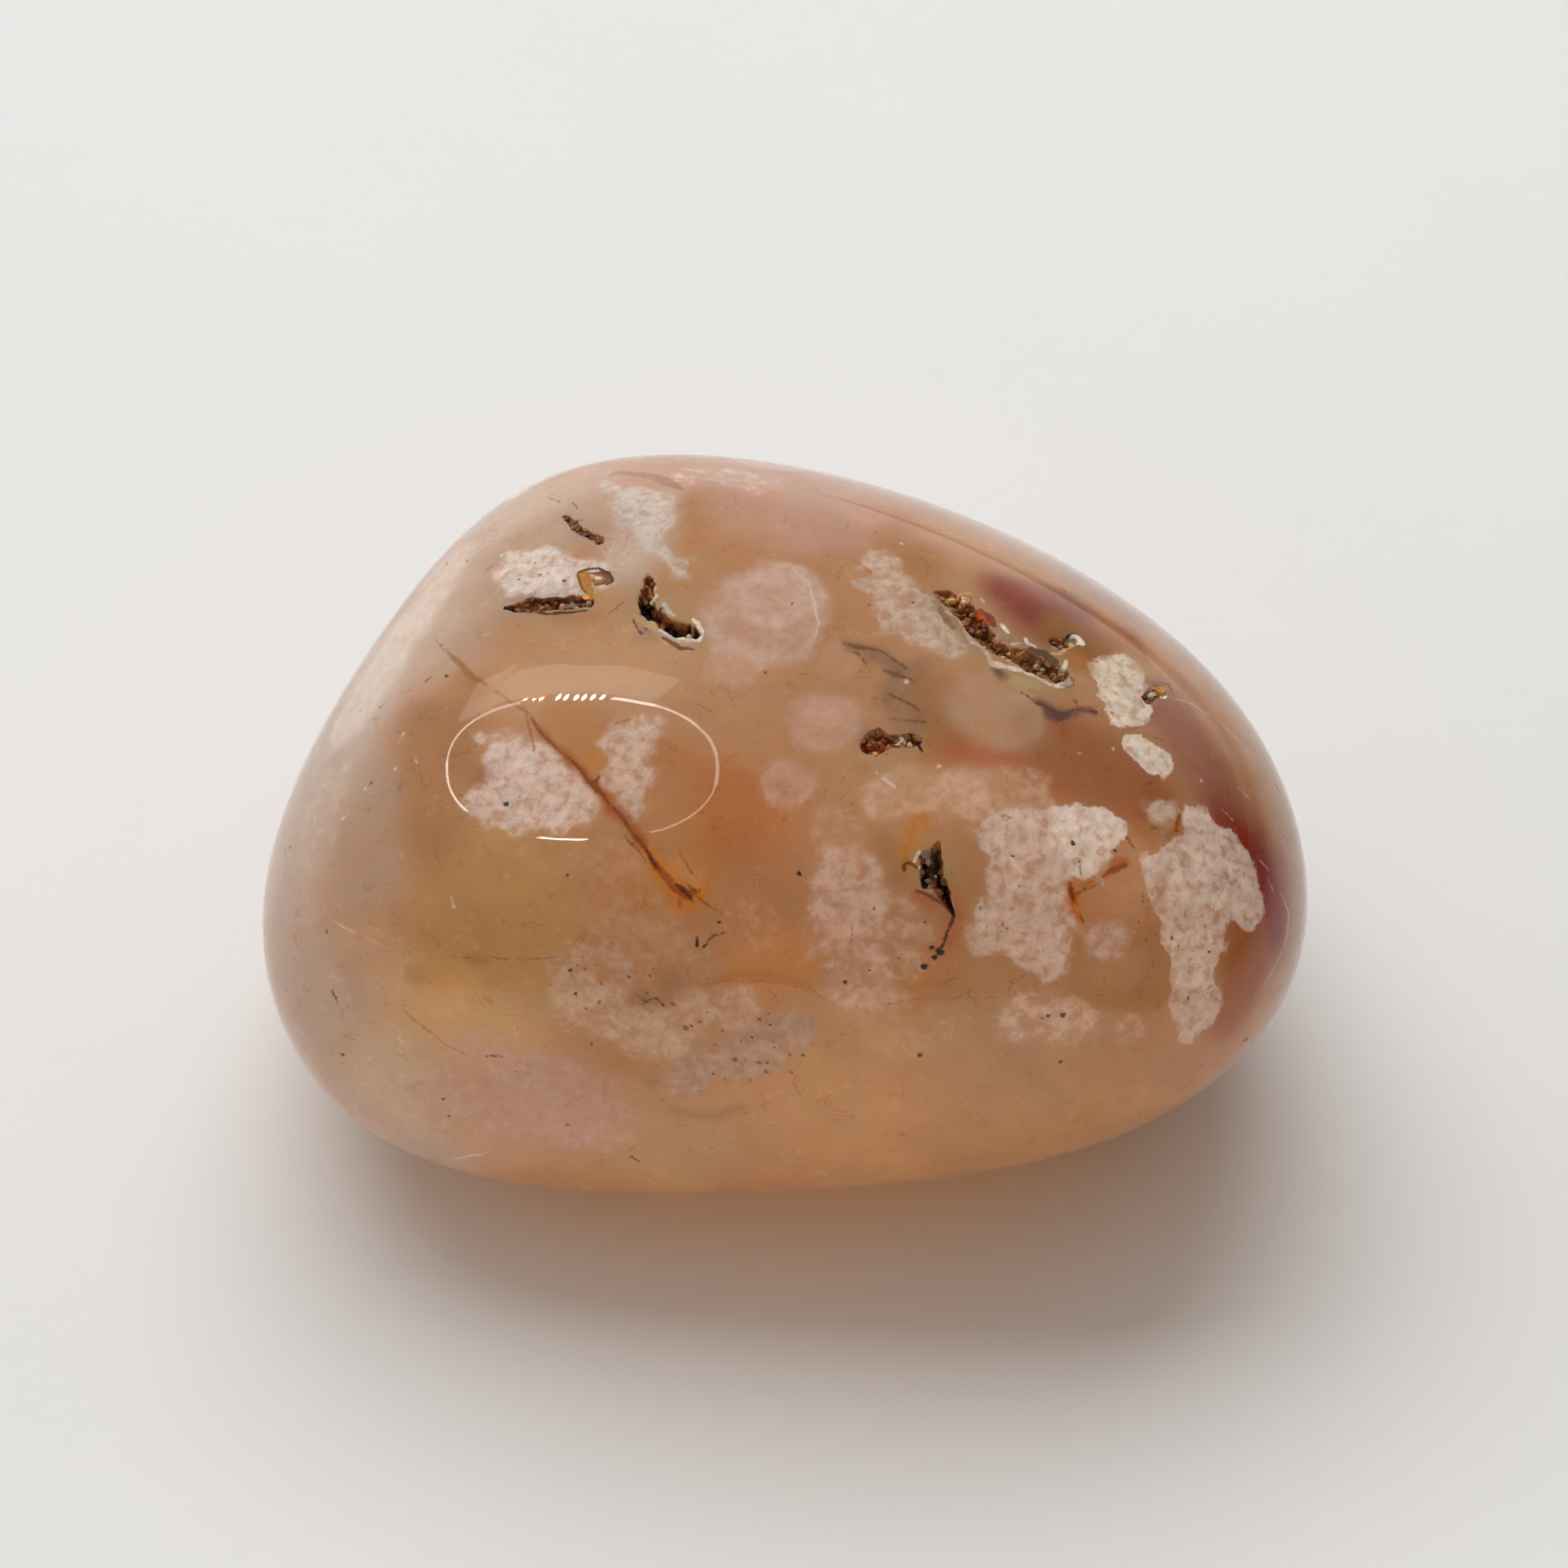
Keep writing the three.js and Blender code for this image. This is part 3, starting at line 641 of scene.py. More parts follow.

# The plumes that lie deeper have soft edges: round lobes along [across, up] places with a radius, a colour,
# how solid the lobe is, how soft its edge, and how far it is broken into flecks. Two pale bands along the
# left rim are painted reflections, drawn the same way. A lobe is palest near its edge, and its middle shows
# this share of that. It gets paler between these shares of its radius.
LOBE_MIDDLE = 0.65
LOBE_PALER = (0.5, 0.95)
HAZES = [
    ([(-0.7, 6.3)], 2.15, (202, 168, 152), 0.7, 0.4, 0.2),
    ([(-0.2, 7.2)], 1.5, (208, 176, 160), 0.6, 0.2, 0.2),
    ([(-1.9, 4.6)], 1.05, (202, 162, 140), 0.55, 0.2, 0.2),
    ([(1.5, 2.4)], 1.2, (202, 162, 144), 0.65, 0.25, 0.1),
    ([(1.5, 2.5)], 0.6, (212, 170, 148), 0.45, 0.2, 0.1),
    ([(0.15, -0.2)], 0.95, (202, 160, 138), 0.65, 0.12, 0.1),
    ([(2.1, -2.0)], 0.95, (204, 162, 136), 0.55, 0.25, 0.3),
    ([(2.0, 4.7)], 0.75, (200, 156, 130), 0.4, 0.2, 0.1),
    ([(7.3, 2.9), (8.4, 2.4)], 1.3, (184, 150, 122), 0.7, 0.4, 0.1),
    ([(7.6, -0.4), (9.0, -0.5)], 1.1, (206, 168, 142), 0.65, 0.4, 0.4),
    ([(3.9, -0.4), (5.4, -0.2), (6.8, -0.3)], 0.8, (214, 178, 154), 0.75, 0.5, 0.3),
    ([(2.5, -4.0)], 1.4, (210, 182, 168), 0.85, 0.5, 0.5),
    ([(3.6, -5.2), (4.4, -6.0)], 1.4, (198, 164, 142), 0.75, 0.6, 0.6),
    ([(2.2, -6.0), (3.0, -7.6)], 1.2, (206, 172, 156), 0.75, 0.5, 0.5),
    ([(-6.0, -6.2), (-3.6, -6.8)], 1.1, (186, 148, 122), 0.7, 0.7, 0.6),
    ([(-6.8, -3.6), (-5.2, -5.0)], 1.5, (188, 144, 108), 0.7, 0.8, 0.5),
    ([(-8.2, -6.9), (-6.6, -7.3)], 0.9, (194, 162, 140), 0.8, 0.5, 0.6),
    ([(-8.0, -8.3), (-6.4, -8.9), (-5.0, -9.5)], 0.95, (200, 168, 140), 0.9, 0.5, 0.6),
    ([(-4.2, -9.3), (-3.0, -8.7), (-1.9, -8.4)], 0.9, (198, 164, 138), 0.85, 0.5, 0.6),
    ([(-11.2, -11.2), (-7.6, -12.3)], 1.9, (194, 154, 142), 0.7, 0.9, 0.4),
    ([(9.0, -8.8), (10.8, -8.9)], 1.0, (208, 176, 156), 0.8, 0.5, 0.6),
    ([(12.9, -9.2)], 0.6, (204, 168, 146), 0.45, 0.4, 0.7),
    ([(-11.6, 9.4), (-9.4, 10.9), (-7.6, 11.4)], 1.1, (198, 184, 166), 0.5, 0.9, 0.1),
    ([(-3.4, 11.6), (-0.9, 11.4)], 0.8, (210, 184, 170), 0.5, 0.5, 0.6),
    # Painted reflections: pale bands along the left rim, where the skin mirrors the bright studio.
    ([(-12.8, 8.0), (-14.0, 6.2), (-15.2, 4.2), (-16.4, 2.4)], 1.0, (226, 210, 198), 0.8, 0.8, 0.1),
    ([(-17.2, 0.4), (-17.6, -2.0)], 1.1, (202, 180, 164), 0.45, 0.8, 0.2),
    ([(5.4, -9.2), (4.0, -9.0)], 1.2, (198, 162, 132), 0.4, 0.6, 0.5),
    ([(-1.2, -5.3)], 1.0, (202, 160, 132), 0.4, 0.6, 0.7),
    ([(-14.6, -11.4), (-13.0, -12.6)], 1.4, (198, 174, 152), 0.4, 0.9, 0.3),
]

# More plumes on the sides that the front doesn't show: (bearing, rise, radius, colour, how solid, how faded).
FAR_PLUMES = [
    (30, -4, 2.4, CREAM, 0.85, 0.1),
    (52, 2, 2.6, PINK_CREAM, 0.8, 0.5),
    (62, -3, 3.0, PINK_CREAM, 0.85, 0.3),
    (74, 22, 1.5, CREAM, 0.8, 0.2),
    (82, 19, 1.1, PINK_CREAM, 0.7, 0.8),
    (98, 18, 2.9, CREAM, 0.9, 0.1),
    (106, 12, 2.4, PINK_CREAM, 0.75, 0.6),
    (118, -12, 3.0, PINK_CREAM, 0.8, 0.5),
    (132, 24, 1.8, PINK_CREAM, 0.8, 0.6),
    (150, -2, 3.1, CREAM, 0.85, 0.2),
    (160, -12, 2.2, PINK_CREAM, 0.7, 0.8),
    (180, -24, 2.0, PINK_CREAM, 0.75, 0.6),
    (34, -28, 2.7, PINK_CREAM, 0.75, 0.6),
    (88, -30, 1.9, PINK_CREAM, 0.7, 0.8),
    (350, -34, 2.4, PINK_CREAM, 0.75, 0.3),
    (215, -38, 2.1, PINK_CREAM, 0.65, 0.8),
    (290, -54, 2.6, PINK_CREAM, 0.7, 0.4),
    (0, -84, 3.4, PINK_CREAM, 0.7, 0.5),
    (150, -60, 2.6, CREAM, 0.75, 0.2),
]

# Each of these has a core and lobes round it, sized in shares of its radius. A lobe's distance from the
# middle and its size are random between two shares, and it is turned by up to this many radians.
LOBES_EACH = 7
LOBE_TURN = 0.4
LOBE_DISTANCES = (0.35, 0.7)
LOBE_SIZES = (0.32, 0.5)
CORE_SIZE = 0.55

# Further than this from a plume, nothing of it shows, and this is how faded the edge is there.
PLUME_MARGIN = 3.0
PLAIN_FADE = 0.3

# Deeper, softer plumes there: (bearing, rise, radius, colour, how solid, how soft, how far broken up).
FAR_HAZES = [
    (66, 10, 2.6, (206, 170, 148), 0.7, 1.2, 0.5),
    (86, 4, 3.4, (202, 166, 146), 0.65, 1.4, 0.6),
    (90, 36, 1.6, (206, 172, 156), 0.6, 0.3, 0.1),
    (78, 34, 1.0, (204, 166, 146), 0.6, 0.2, 0.1),
    (110, 30, 1.3, (206, 170, 150), 0.6, 0.3, 0.2),
    (112, 2, 2.4, (204, 168, 146), 0.7, 0.9, 0.6),
    (138, -16, 3.0, (200, 164, 142), 0.6, 1.2, 0.6),
    (142, 12, 2.0, (208, 184, 168), 0.6, 0.8, 0.3),
    (168, 2, 2.6, (206, 182, 166), 0.5, 1.0, 0.4),
    (44, -14, 2.6, (200, 160, 136), 0.6, 1.0, 0.6),
    (100, -44, 3.2, (204, 170, 148), 0.6, 1.2, 0.5),
    (14, -30, 2.4, (200, 164, 144), 0.5, 0.9, 0.5),
    (200, -24, 2.6, (196, 168, 150), 0.5, 1.0, 0.4),
    (250, -50, 2.6, (204, 172, 146), 0.5, 1.0, 0.4),
    (60, -70, 3.0, (204, 170, 150), 0.6, 1.0, 0.5),
]

# Zones of colour on those sides: (bearing, rise, radius, colour, how much).
FAR_ZONES = [
    (75, 45, 3.5, PINK_BROWN, 0.7),
    (40, -4, 4.0, (160, 100, 76), 0.8),
    (15, 5, 2.6, CRIMSON, 0.7),
    (100, -12, 4.5, AMBER, 0.8),
    (140, 20, 4.0, GREY_PINK, 0.7),
    (160, -18, 3.6, (168, 118, 84), 0.7),
    (120, -40, 4.0, PEACH, 0.7),
    (60, -45, 4.0, (172, 120, 84), 0.7),
    (0, -60, 4.0, (160, 104, 78), 0.6),
    (200, -60, 4.0, GREY_PINK, 0.6),
    (95, 14, 2.2, VIOLET, 0.55),
]

# Iron veins there: the stops that each has, as (bearing, rise), and its widest half width. A rusty halo
# follows each. A vein swells and narrows again as a sine does, this many radians short of its ends.
VEIN_ENDS = 0.3
FAR_VEINS = [
    ([(58, 30), (63, 24), (70, 15), (76, 11), (80, 8)], 0.12),
    ([(126, -2), (132, -8), (135, -15)], 0.08),
    ([(20, -12), (26, -18), (30, -28)], 0.1),
]
FAR_VEIN_COLOUR = (110, 50, 2)
FAR_VEIN_SOLID = 0.85

# Dark specks there: how many, between which bearings, rises and half widths, and about how long.
FAR_SPECKS = 34
SPECK_BEARINGS = (10, 200)
SPECK_RISES = (-50, 35)
SPECK_HALVES = (0.03, 0.09)
SPECK_LENGTH = 0.12

# Soft stains: a colour, how strong, how soft its edge, and the track it follows. A halo lies along each far
# vein too. A stain is strongest from this share of its edge's softness inside the edge.
STAIN_CORE = 0.3
RUST = (176, 96, 34)
OCHRE = (196, 132, 34)
DARK = (40, 24, 16)
HALO = (ORANGE, 0.7, 0.35)
STAIN_MARGIN = 2.5
STAINS = [
    (ORANGE, 0.6, 0.5, [(-8.5, 6.35, 0.1), (-7.2, 6.3, 0.2)]),
    ((176, 124, 76), 0.6, 0.9, [(-8.4, 2.3, 0.5), (-7.6, 1.7, 0.3)]),
    ((170, 118, 66), 0.55, 0.5, [(-12.2, 4.0, 0.2), (-11.6, 3.6, 0.3)]),
    ((166, 86, 20), 0.85, 0.25, [(-9.3, 2.1, 0.06), (-8.0, 0.85, 0.1), (-7.1, -0.1, 0.16), (-6.1, -1.3, 0.14),
                                 (-5.3, -2.3, 0.12)]),
    ((198, 122, 34), 0.85, 0.4, [(-5.2, -2.6, 0.1), (-4.6, -3.4, 0.25), (-3.8, -4.2, 0.35),
                                 (-3.2, -4.1, 0.15)]),
    ((206, 146, 90), 0.5, 0.5, [(-4.1, -3.2, 0.2), (-3.4, -3.6, 0.2)]),
    ((146, 98, 58), 0.55, 0.5, [(-5.6, -8.1, 0.15), (-4.6, -8.2, 0.2)]),
    ((150, 108, 72), 0.45, 0.6, [(-4.2, -7.5, 0.3)]),
    ((178, 116, 62), 0.5, 0.25, [(-3.1, -7.6, 0.05), (-1.4, -7.1, 0.12), (0.8, -7.6, 0.08)]),
    ((160, 108, 60), 0.4, 0.4, [(-11.8, -6.5, 0.1), (-11.3, -6.6, 0.1)]),
    ((152, 110, 72), 0.45, 0.5, [(4.0, -2.6, 0.3), (4.1, -3.6, 0.3)]),
    ((170, 112, 44), 0.75, 0.4, [(12.0, 5.9, 0.2), (13.0, 5.2, 0.2), (13.6, 4.4, 0.15)]),
    ((104, 66, 52), 0.85, 0.25, [(9.6, 3.1, 0.05), (10.05, 2.75, 0.22), (10.45, 2.55, 0.24),
                                 (11.0, 2.75, 0.05)]),
    ((110, 66, 50), 0.7, 0.2, [(11.1, 2.8, 0.04), (11.6, 2.75, 0.1)]),
    ((196, 112, 14), 0.8, 0.2, [(10.8, -3.8, 0.1), (10.95, -4.4, 0.2), (11.2, -5.1, 0.1)]),
    ((180, 104, 24), 0.75, 0.2, [(11.2, -3.8, 0.05), (12.3, -3.3, 0.16), (12.8, -3.0, 0.16)]),
    ((176, 120, 70), 0.6, 0.25, [(13.2, -1.6, 0.2), (14.3, -1.7, 0.15), (14.85, -1.4, 0.15)]),
    ((184, 128, 70), 0.5, 0.3, [(14.2, -3.4, 0.12), (14.1, -4.4, 0.1)]),
    ((146, 90, 32), 0.85, 0.5, [(10.1, 5.7, 0.45), (11.3, 5.6, 0.45), (11.9, 5.1, 0.3)]),
    ((184, 112, 50), 0.7, 0.4, [(10.9, 4.8, 0.2), (11.3, 4.6, 0.2)]),
    ((186, 156, 106), 0.7, 0.25, [(8.3, 3.95, 0.12), (9.5, 3.75, 0.2)]),
    ((196, 160, 110), 0.5, 0.4, [(13.0, 4.7, 0.2), (13.6, 4.2, 0.2)]),
    ((176, 84, 48), 0.65, 0.6, [(6.4, 1.3, 0.1), (7.5, 0.95, 0.2), (8.5, 0.9, 0.05)]),
    ((180, 96, 52), 0.6, 0.6, [(5.1, -4.2, 0.1), (6.1, -4.4, 0.2), (6.2, -5.6, 0.1), (5.8, -6.3, 0.2)]),
    ((190, 112, 10), 0.95, 0.18, [(4.5, -3.0, 0.1), (4.6, -2.4, 0.06), (4.8, -1.7, 0.05), (5.1, -1.2, 0.06),
                                  (5.4, -1.3, 0.05), (5.35, -1.7, 0.03)]),
    ((200, 140, 60), 0.5, 0.5, [(4.6, -2.9, 0.3), (5.0, -1.6, 0.3)]),
    (OCHRE, 0.6, 0.3, [(-7.5, 7.7, 0.3), (-7.2, 7.2, 0.2)]),
    ((132, 98, 70), 0.5, 0.6, [(5.0, 4.3, 0.3), (4.3, 3.4, 0.6), (4.6, 2.6, 0.5)]),
    ((128, 92, 72), 0.6, 0.35, [(2.4, 5.25, 0.08), (3.2, 4.95, 0.2), (4.2, 4.3, 0.25)]),
    ((142, 100, 78), 0.4, 0.3, [(-5.5, 5.5, 0.12), (-4.9, 5.5, 0.12)]),
    ((98, 66, 58), 0.85, 0.2, [(7.95, 4.3, 0.1), (8.15, 4.05, 0.16)]),
    ((150, 95, 70), 0.5, 0.5, [(-11.3, 0.3, 0.2)]),
    ((165, 125, 50), 0.5, 0.5, [(-13.8, -7.2, 0.2)]),
    ((158, 108, 62), 0.5, 0.35, [(-4.2, -12.3, 0.1), (-3.0, -12.5, 0.07), (-1.6, -12.3, 0.07)]),
    ((146, 108, 74), 0.4, 0.3, [(-4.9, -11.1, 0.15)]),
]

# Crisp marks: a colour, how solid, and the tracks in it.
MARKS = {
    "main vein": (
        (130, 66, 0), 0.9,
        [
            [(-9.5, 2.5, 0.05), (-9.15, 1.95, 0.07), (-8.4, 1.2, 0.05), (-8.0, 0.85, 0.07), (-7.5, 0.3, 0.07),
             (-7.1, -0.1, 0.12), (-6.8, -0.4, 0.08), (-6.5, -0.9, 0.06), (-6.1, -1.3, 0.09),
             (-5.8, -1.7, 0.07), (-5.4, -2.2, 0.09), (-5.1, -2.6, 0.07)],
            [(-7.15, 0.0, 0.09), (-7.0, 0.35, 0.03)],
            [(-6.0, -1.9, 0.03), (-5.2, -2.9, 0.03)],
        ],
    ),
    "vein start": (
        (150, 94, 34), 0.65,
        [
            [(-13.2, 5.6, 0.01), (-12.95, 5.2, 0.05), (-12.4, 4.75, 0.09), (-11.9, 4.2, 0.13),
             (-11.2, 3.7, 0.05)],
            [(-10.9, 3.5, 0.06), (-10.2, 3.05, 0.05), (-9.6, 2.6, 0.06)],
            [(-9.9, 3.1, 0.03), (-9.6, 2.2, 0.07), (-9.4, 1.2, 0.05)],
        ],
    ),
    "rust": (
        (152, 76, 4), 0.85,
        [
            [(-5.2, -2.4, 0.06), (-4.9, -2.9, 0.12), (-4.5, -3.4, 0.14), (-4.2, -3.9, 0.1),
             (-3.7, -4.15, 0.2), (-3.2, -4.0, 0.06)],
            [(-3.9, -3.9, 0.12), (-3.95, -4.6, 0.05)],
            [(-3.3, -4.2, 0.06), (-2.9, -4.5, 0.05), (-2.3, -4.9, 0.03)],
            [(-3.9, -2.6, 0.03), (-3.6, -3.1, 0.04), (-3.3, -3.5, 0.03)],
            [(10.75, -3.7, 0.05), (10.85, -4.1, 0.12), (11.0, -4.7, 0.06), (11.3, -5.2, 0.04)],
            [(11.0, -4.2, 0.05), (11.3, -3.9, 0.03), (11.9, -3.7, 0.03)],
            [(12.0, -3.5, 0.05), (12.3, -3.3, 0.1), (12.8, -3.1, 0.1)],
            [(12.9, -2.0, 0.05), (13.2, -2.4, 0.04)],
            [(14.85, -1.1, 0.05), (14.8, -1.75, 0.06)],
        ],
    ),
    "rust core": (
        (84, 24, 0), 0.9,
        [
            [(-5.2, -2.4, 0.06), (-4.85, -3.0, 0.07), (-4.55, -3.3, 0.03)],
            [(-4.2, -3.7, 0.02), (-3.9, -3.9, 0.1), (-3.6, -4.2, 0.09), (-3.45, -4.4, 0.04)],
            [(-3.75, -3.7, 0.03), (-3.5, -3.95, 0.05), (-3.3, -4.0, 0.03)],
            [(10.85, -4.0, 0.05), (10.9, -4.3, 0.05)],
        ],
    ),
    "rust light": (
        (226, 150, 44), 0.8,
        [
            [(-4.35, -3.55, 0.05), (-4.25, -3.75, 0.04)],
            [(-3.75, -4.35, 0.05), (-3.95, -4.3, 0.04)],
            [(-3.35, -3.85, 0.03), (-3.2, -4.05, 0.03)],
            [(10.95, -4.5, 0.03), (11.1, -4.9, 0.03)],
        ],
    ),
    "thin brown": (
        (136, 82, 44), 0.6,
        [
            [(12.2, 6.3, 0.01), (13.1, 5.5, 0.03), (13.6, 4.8, 0.03), (13.9, 4.0, 0.02)],
            [(-14.4, -8.5, 0.01), (-13.6, -9.1, 0.04), (-12.9, -9.7, 0.03), (-11.9, -10.2, 0.02)],
            # Painted reflection: these three long level lines are the mirrored horizon, painted as thin brown
            # lines.
            [(-3.0, -7.6, 0.02), (-2.0, -7.4, 0.03), (0.0, -7.5, 0.02), (1.0, -7.7, 0.02), (2.0, -8.5, 0.01)],
            [(-12.5, -6.5, 0.02), (-10.0, -6.55, 0.03), (-7.0, -6.5, 0.02)],
            [(3.8, -8.3, 0.01), (5.0, -8.1, 0.02), (8.0, -8.0, 0.02), (12.0, -7.9, 0.01)],
            [(-6.6, 6.35, 0.03), (-6.05, 6.85, 0.06)],
            [(0.3, -11.2, 0.02), (0.8, -12.0, 0.02)],
            [(12.3, 4.8, 0.03), (12.9, 4.1, 0.02)],
            [(12.7, 2.0, 0.03), (13.9, 2.25, 0.03)],
            [(13.5, 1.95, 0.03), (14.3, 1.6, 0.03)],
            [(13.8, -1.6, 0.04), (14.3, -1.65, 0.02)],
            [(8.2, -1.2, 0.04), (8.6, -1.25, 0.02)],
            [(2.5, 8.5, 0.02), (3.3, 7.9, 0.03)],
            [(-2.6, 5.7, 0.01), (-1.3, 5.7, 0.01)],
            [(-6.3, 2.3, 0.03), (-5.7, 2.45, 0.02)],
            [(2.6, -5.3, 0.03), (2.5, -6.0, 0.02)],
            [(13.5, -4.0, 0.02), (13.6, -5.0, 0.02)],
        ],
    ),
    "fibres": (
        (108, 66, 30), 0.7,
        [
            [(2.2, 5.3, 0.04), (2.9, 5.15, 0.1), (3.6, 5.0, 0.05), (4.6, 4.4, 0.06)],
            [(2.7, 5.0, 0.05), (3.1, 4.5, 0.05)],
            [(3.7, 4.3, 0.05), (4.3, 4.1, 0.1), (4.95, 3.85, 0.06)],
            [(3.9, 3.4, 0.03), (4.6, 3.1, 0.07), (5.2, 2.7, 0.04)],
            [(4.0, 2.5, 0.03), (5.3, 2.3, 0.05)],
        ],
    ),
    "crimson streak": (
        (158, 106, 94), 0.7,
        [[(-6.6, 11.6, 0.08), (-6.3, 11.75, 0.18), (-5.5, 11.65, 0.16), (-4.9, 11.6, 0.2), (-4.4, 11.4, 0.24),
          (-3.9, 11.1, 0.1)]],
    ),
    "violet streak": (
        (92, 54, 36), 0.85,
        [
            [(8.9, 3.45, 0.02), (9.5, 3.1, 0.05), (10.0, 2.8, 0.09), (10.35, 2.55, 0.17), (10.7, 2.65, 0.06)],
            [(10.5, 2.6, 0.06), (10.9, 2.8, 0.04), (11.3, 2.8, 0.04), (11.7, 2.72, 0.08)],
            [(11.0, 3.3, 0.03), (11.05, 2.9, 0.04)],
            [(10.3, 7.6, 0.02), (10.6, 7.2, 0.03)],
        ],
    ),
    "tan ridge": (
        (176, 132, 86), 0.7,
        [[(9.2, 3.55, 0.06), (10.0, 3.3, 0.1), (10.9, 3.2, 0.08)]],
    ),
    "brown edge": (
        (72, 38, 20), 0.9,
        [
            [(-7.95, 10.6, 0.03), (-7.75, 10.35, 0.04)],
            [(-8.9, 10.8, 0.02), (-8.45, 10.6, 0.04)],
            [(-3.0, -6.1, 0.04), (-2.7, -5.75, 0.05), (-2.2, -5.6, 0.02)],
            [(-5.6, -7.9, 0.02), (-5.2, -8.2, 0.04), (-4.8, -8.0, 0.02), (-4.5, -8.3, 0.03)],
            [(-5.35, -8.3, 0.02), (-5.0, -8.6, 0.03)],
            [(6.36, -4.9, 0.08), (6.32, -5.2, 0.07), (6.15, -5.6, 0.06), (6.0, -6.0, 0.05),
             (5.85, -6.25, 0.05)],
            [(4.5, -3.25, 0.05), (4.55, -3.05, 0.06), (4.75, -3.0, 0.07), (5.0, -3.18, 0.05)],
        ],
    ),
    # Painted highlights: thin pale reflections and glints along the rims, small ridges and nicks of the
    # polished skin; the last arc is the mirrored horizon on the left face.
    "pale highlights": (
        (220, 192, 176), 0.8,
        [
            [(0.2, 8.3, 0.02), (0.9, 7.6, 0.04), (1.2, 6.8, 0.05), (1.3, 6.0, 0.04), (1.1, 5.3, 0.02)],
            [(-3.8, 11.85, 0.04), (-2.9, 11.7, 0.03)],
            [(-2.1, 11.5, 0.04), (-1.7, 11.4, 0.03)],
            [(-1.5, 11.8, 0.04), (-0.4, 11.1, 0.03)],
            [(3.8, 0.2, 0.08), (4.2, -0.1, 0.06)],
            [(3.5, 0.4, 0.06)],
            [(14.4, 3.35, 0.01), (15.5, 2.95, 0.04), (16.3, 2.4, 0.03), (17.2, 1.5, 0.05), (18.1, 0.5, 0.02)],
            [(17.05, -0.1, 0.01), (17.5, -0.55, 0.04)],
            [(16.5, -0.95, 0.02), (16.9, -1.35, 0.04)],
            [(17.8, -2.7, 0.02), (18.2, -3.2, 0.05)],
            [(18.2, -3.6, 0.02), (18.4, -3.95, 0.03)],
            [(18.25, -1.2, 0.01), (18.9, -2.25, 0.04)],
            [(18.7, -4.1, 0.02), (19.0, -4.85, 0.05), (18.97, -5.6, 0.06), (18.6, -6.65, 0.05),
             (18.1, -7.5, 0.02)],
            [(10.2, 8.45, 0.02), (11.6, 7.9, 0.05), (13.0, 7.0, 0.04), (14.4, 5.7, 0.02)],
            [(-12.4, -14.1, 0.03), (-11.8, -14.0, 0.07), (-11.1, -13.85, 0.04)],
            [(-12.55, -4.25, 0.03), (-12.4, -4.6, 0.05)],
            [(-18.2, -2.8, 0.01), (-17.9, -4.4, 0.03), (-16.6, -5.4, 0.03), (-14.8, -6.2, 0.01)],
        ],
    ),
}

# How solid the dark specks and the painted glints are, and the glints' colour.
SPECK_SOLID = 0.92
GLINT_SOLID = 0.6
GLINT_COLOUR = (226, 206, 190)

# Dots: (across, up, radius).
DARK_DOTS = [
    (0.6, -3.4, 0.09), (2.3, -7.45, 0.08), (5.15, -10.2, 0.1), (10.5, -8.7, 0.1), (9.75, -8.8, 0.05),
    (9.95, -8.7, 0.07), (13.35, -5.2, 0.05), (14.6, -5.8, 0.05), (16.0, -6.35, 0.05), (15.2, -8.1, 0.05),
    (7.4, -4.7, 0.05), (8.2, -5.3, 0.05), (10.4, -10.5, 0.06), (3.2, -7.0, 0.04), (4.3, -6.5, 0.04),
    (-2.45, -5.2, 0.05), (-16.65, -10.2, 0.08), (-17.2, -5.6, 0.06), (-12.8, -11.85, 0.06),
    (-12.6, -12.5, 0.05), (-9.65, -10.6, 0.05), (-10.1, -10.8, 0.04), (-8.05, -7.0, 0.06),
    (-7.8, -6.85, 0.05), (-7.5, -7.0, 0.05), (-7.1, -6.8, 0.05), (-7.9, -7.9, 0.06), (-6.9, -7.5, 0.05),
    (-7.3, -9.8, 0.05), (-8.2, -3.4, 0.05), (-8.1, -12.8, 0.06), (-10.45, -0.75, 0.1), (-2.1, -15.5, 0.12),
    (17.4, -9.6, 0.12), (-18.6, -2.4, 0.06), (-15.9, 2.8, 0.06), (-15.2, 2.9, 0.05), (-12.7, 4.1, 0.08),
    (-12.7, 8.3, 0.07), (0.3, 6.8, 0.05), (-0.7, 4.2, 0.05), (4.8, 6.8, 0.05), (3.2, 6.7, 0.05),
    (12.35, 2.7, 0.06), (10.85, -2.2, 0.08), (12.45, -2.5, 0.07), (8.65, -2.7, 0.05), (3.4, -4.7, 0.05),
    (5.3, -5.2, 0.05), (-7.65, 9.95, 0.06), (11.0, 3.1, 0.08), (-9.2, 7.9, 0.06), (-8.3, 7.65, 0.07),
    (-10.0, 7.7, 0.05), (-0.55, -9.05, 0.05), (0.0, -8.65, 0.05), (-0.9, -8.85, 0.04),
    (-1.2, -9.55, 0.05), (-1.6, -9.7, 0.05), (-0.4, -9.9, 0.06), (0.7, -10.2, 0.05), (-1.0, -10.5, 0.05),
    (-2.65, -10.9, 0.05), (-2.25, -11.15, 0.05), (-4.5, -11.9, 0.06), (-2.3, -9.25, 0.05),
    (-3.5, -9.1, 0.05), (-4.8, -8.0, 0.05), (-4.5, -8.3, 0.05), (-2.6, -9.8, 0.05),
    (5.82, -6.35, 0.14), (5.55, -6.18, 0.09), (5.62, -6.55, 0.1), (5.28, -6.87, 0.11),
]
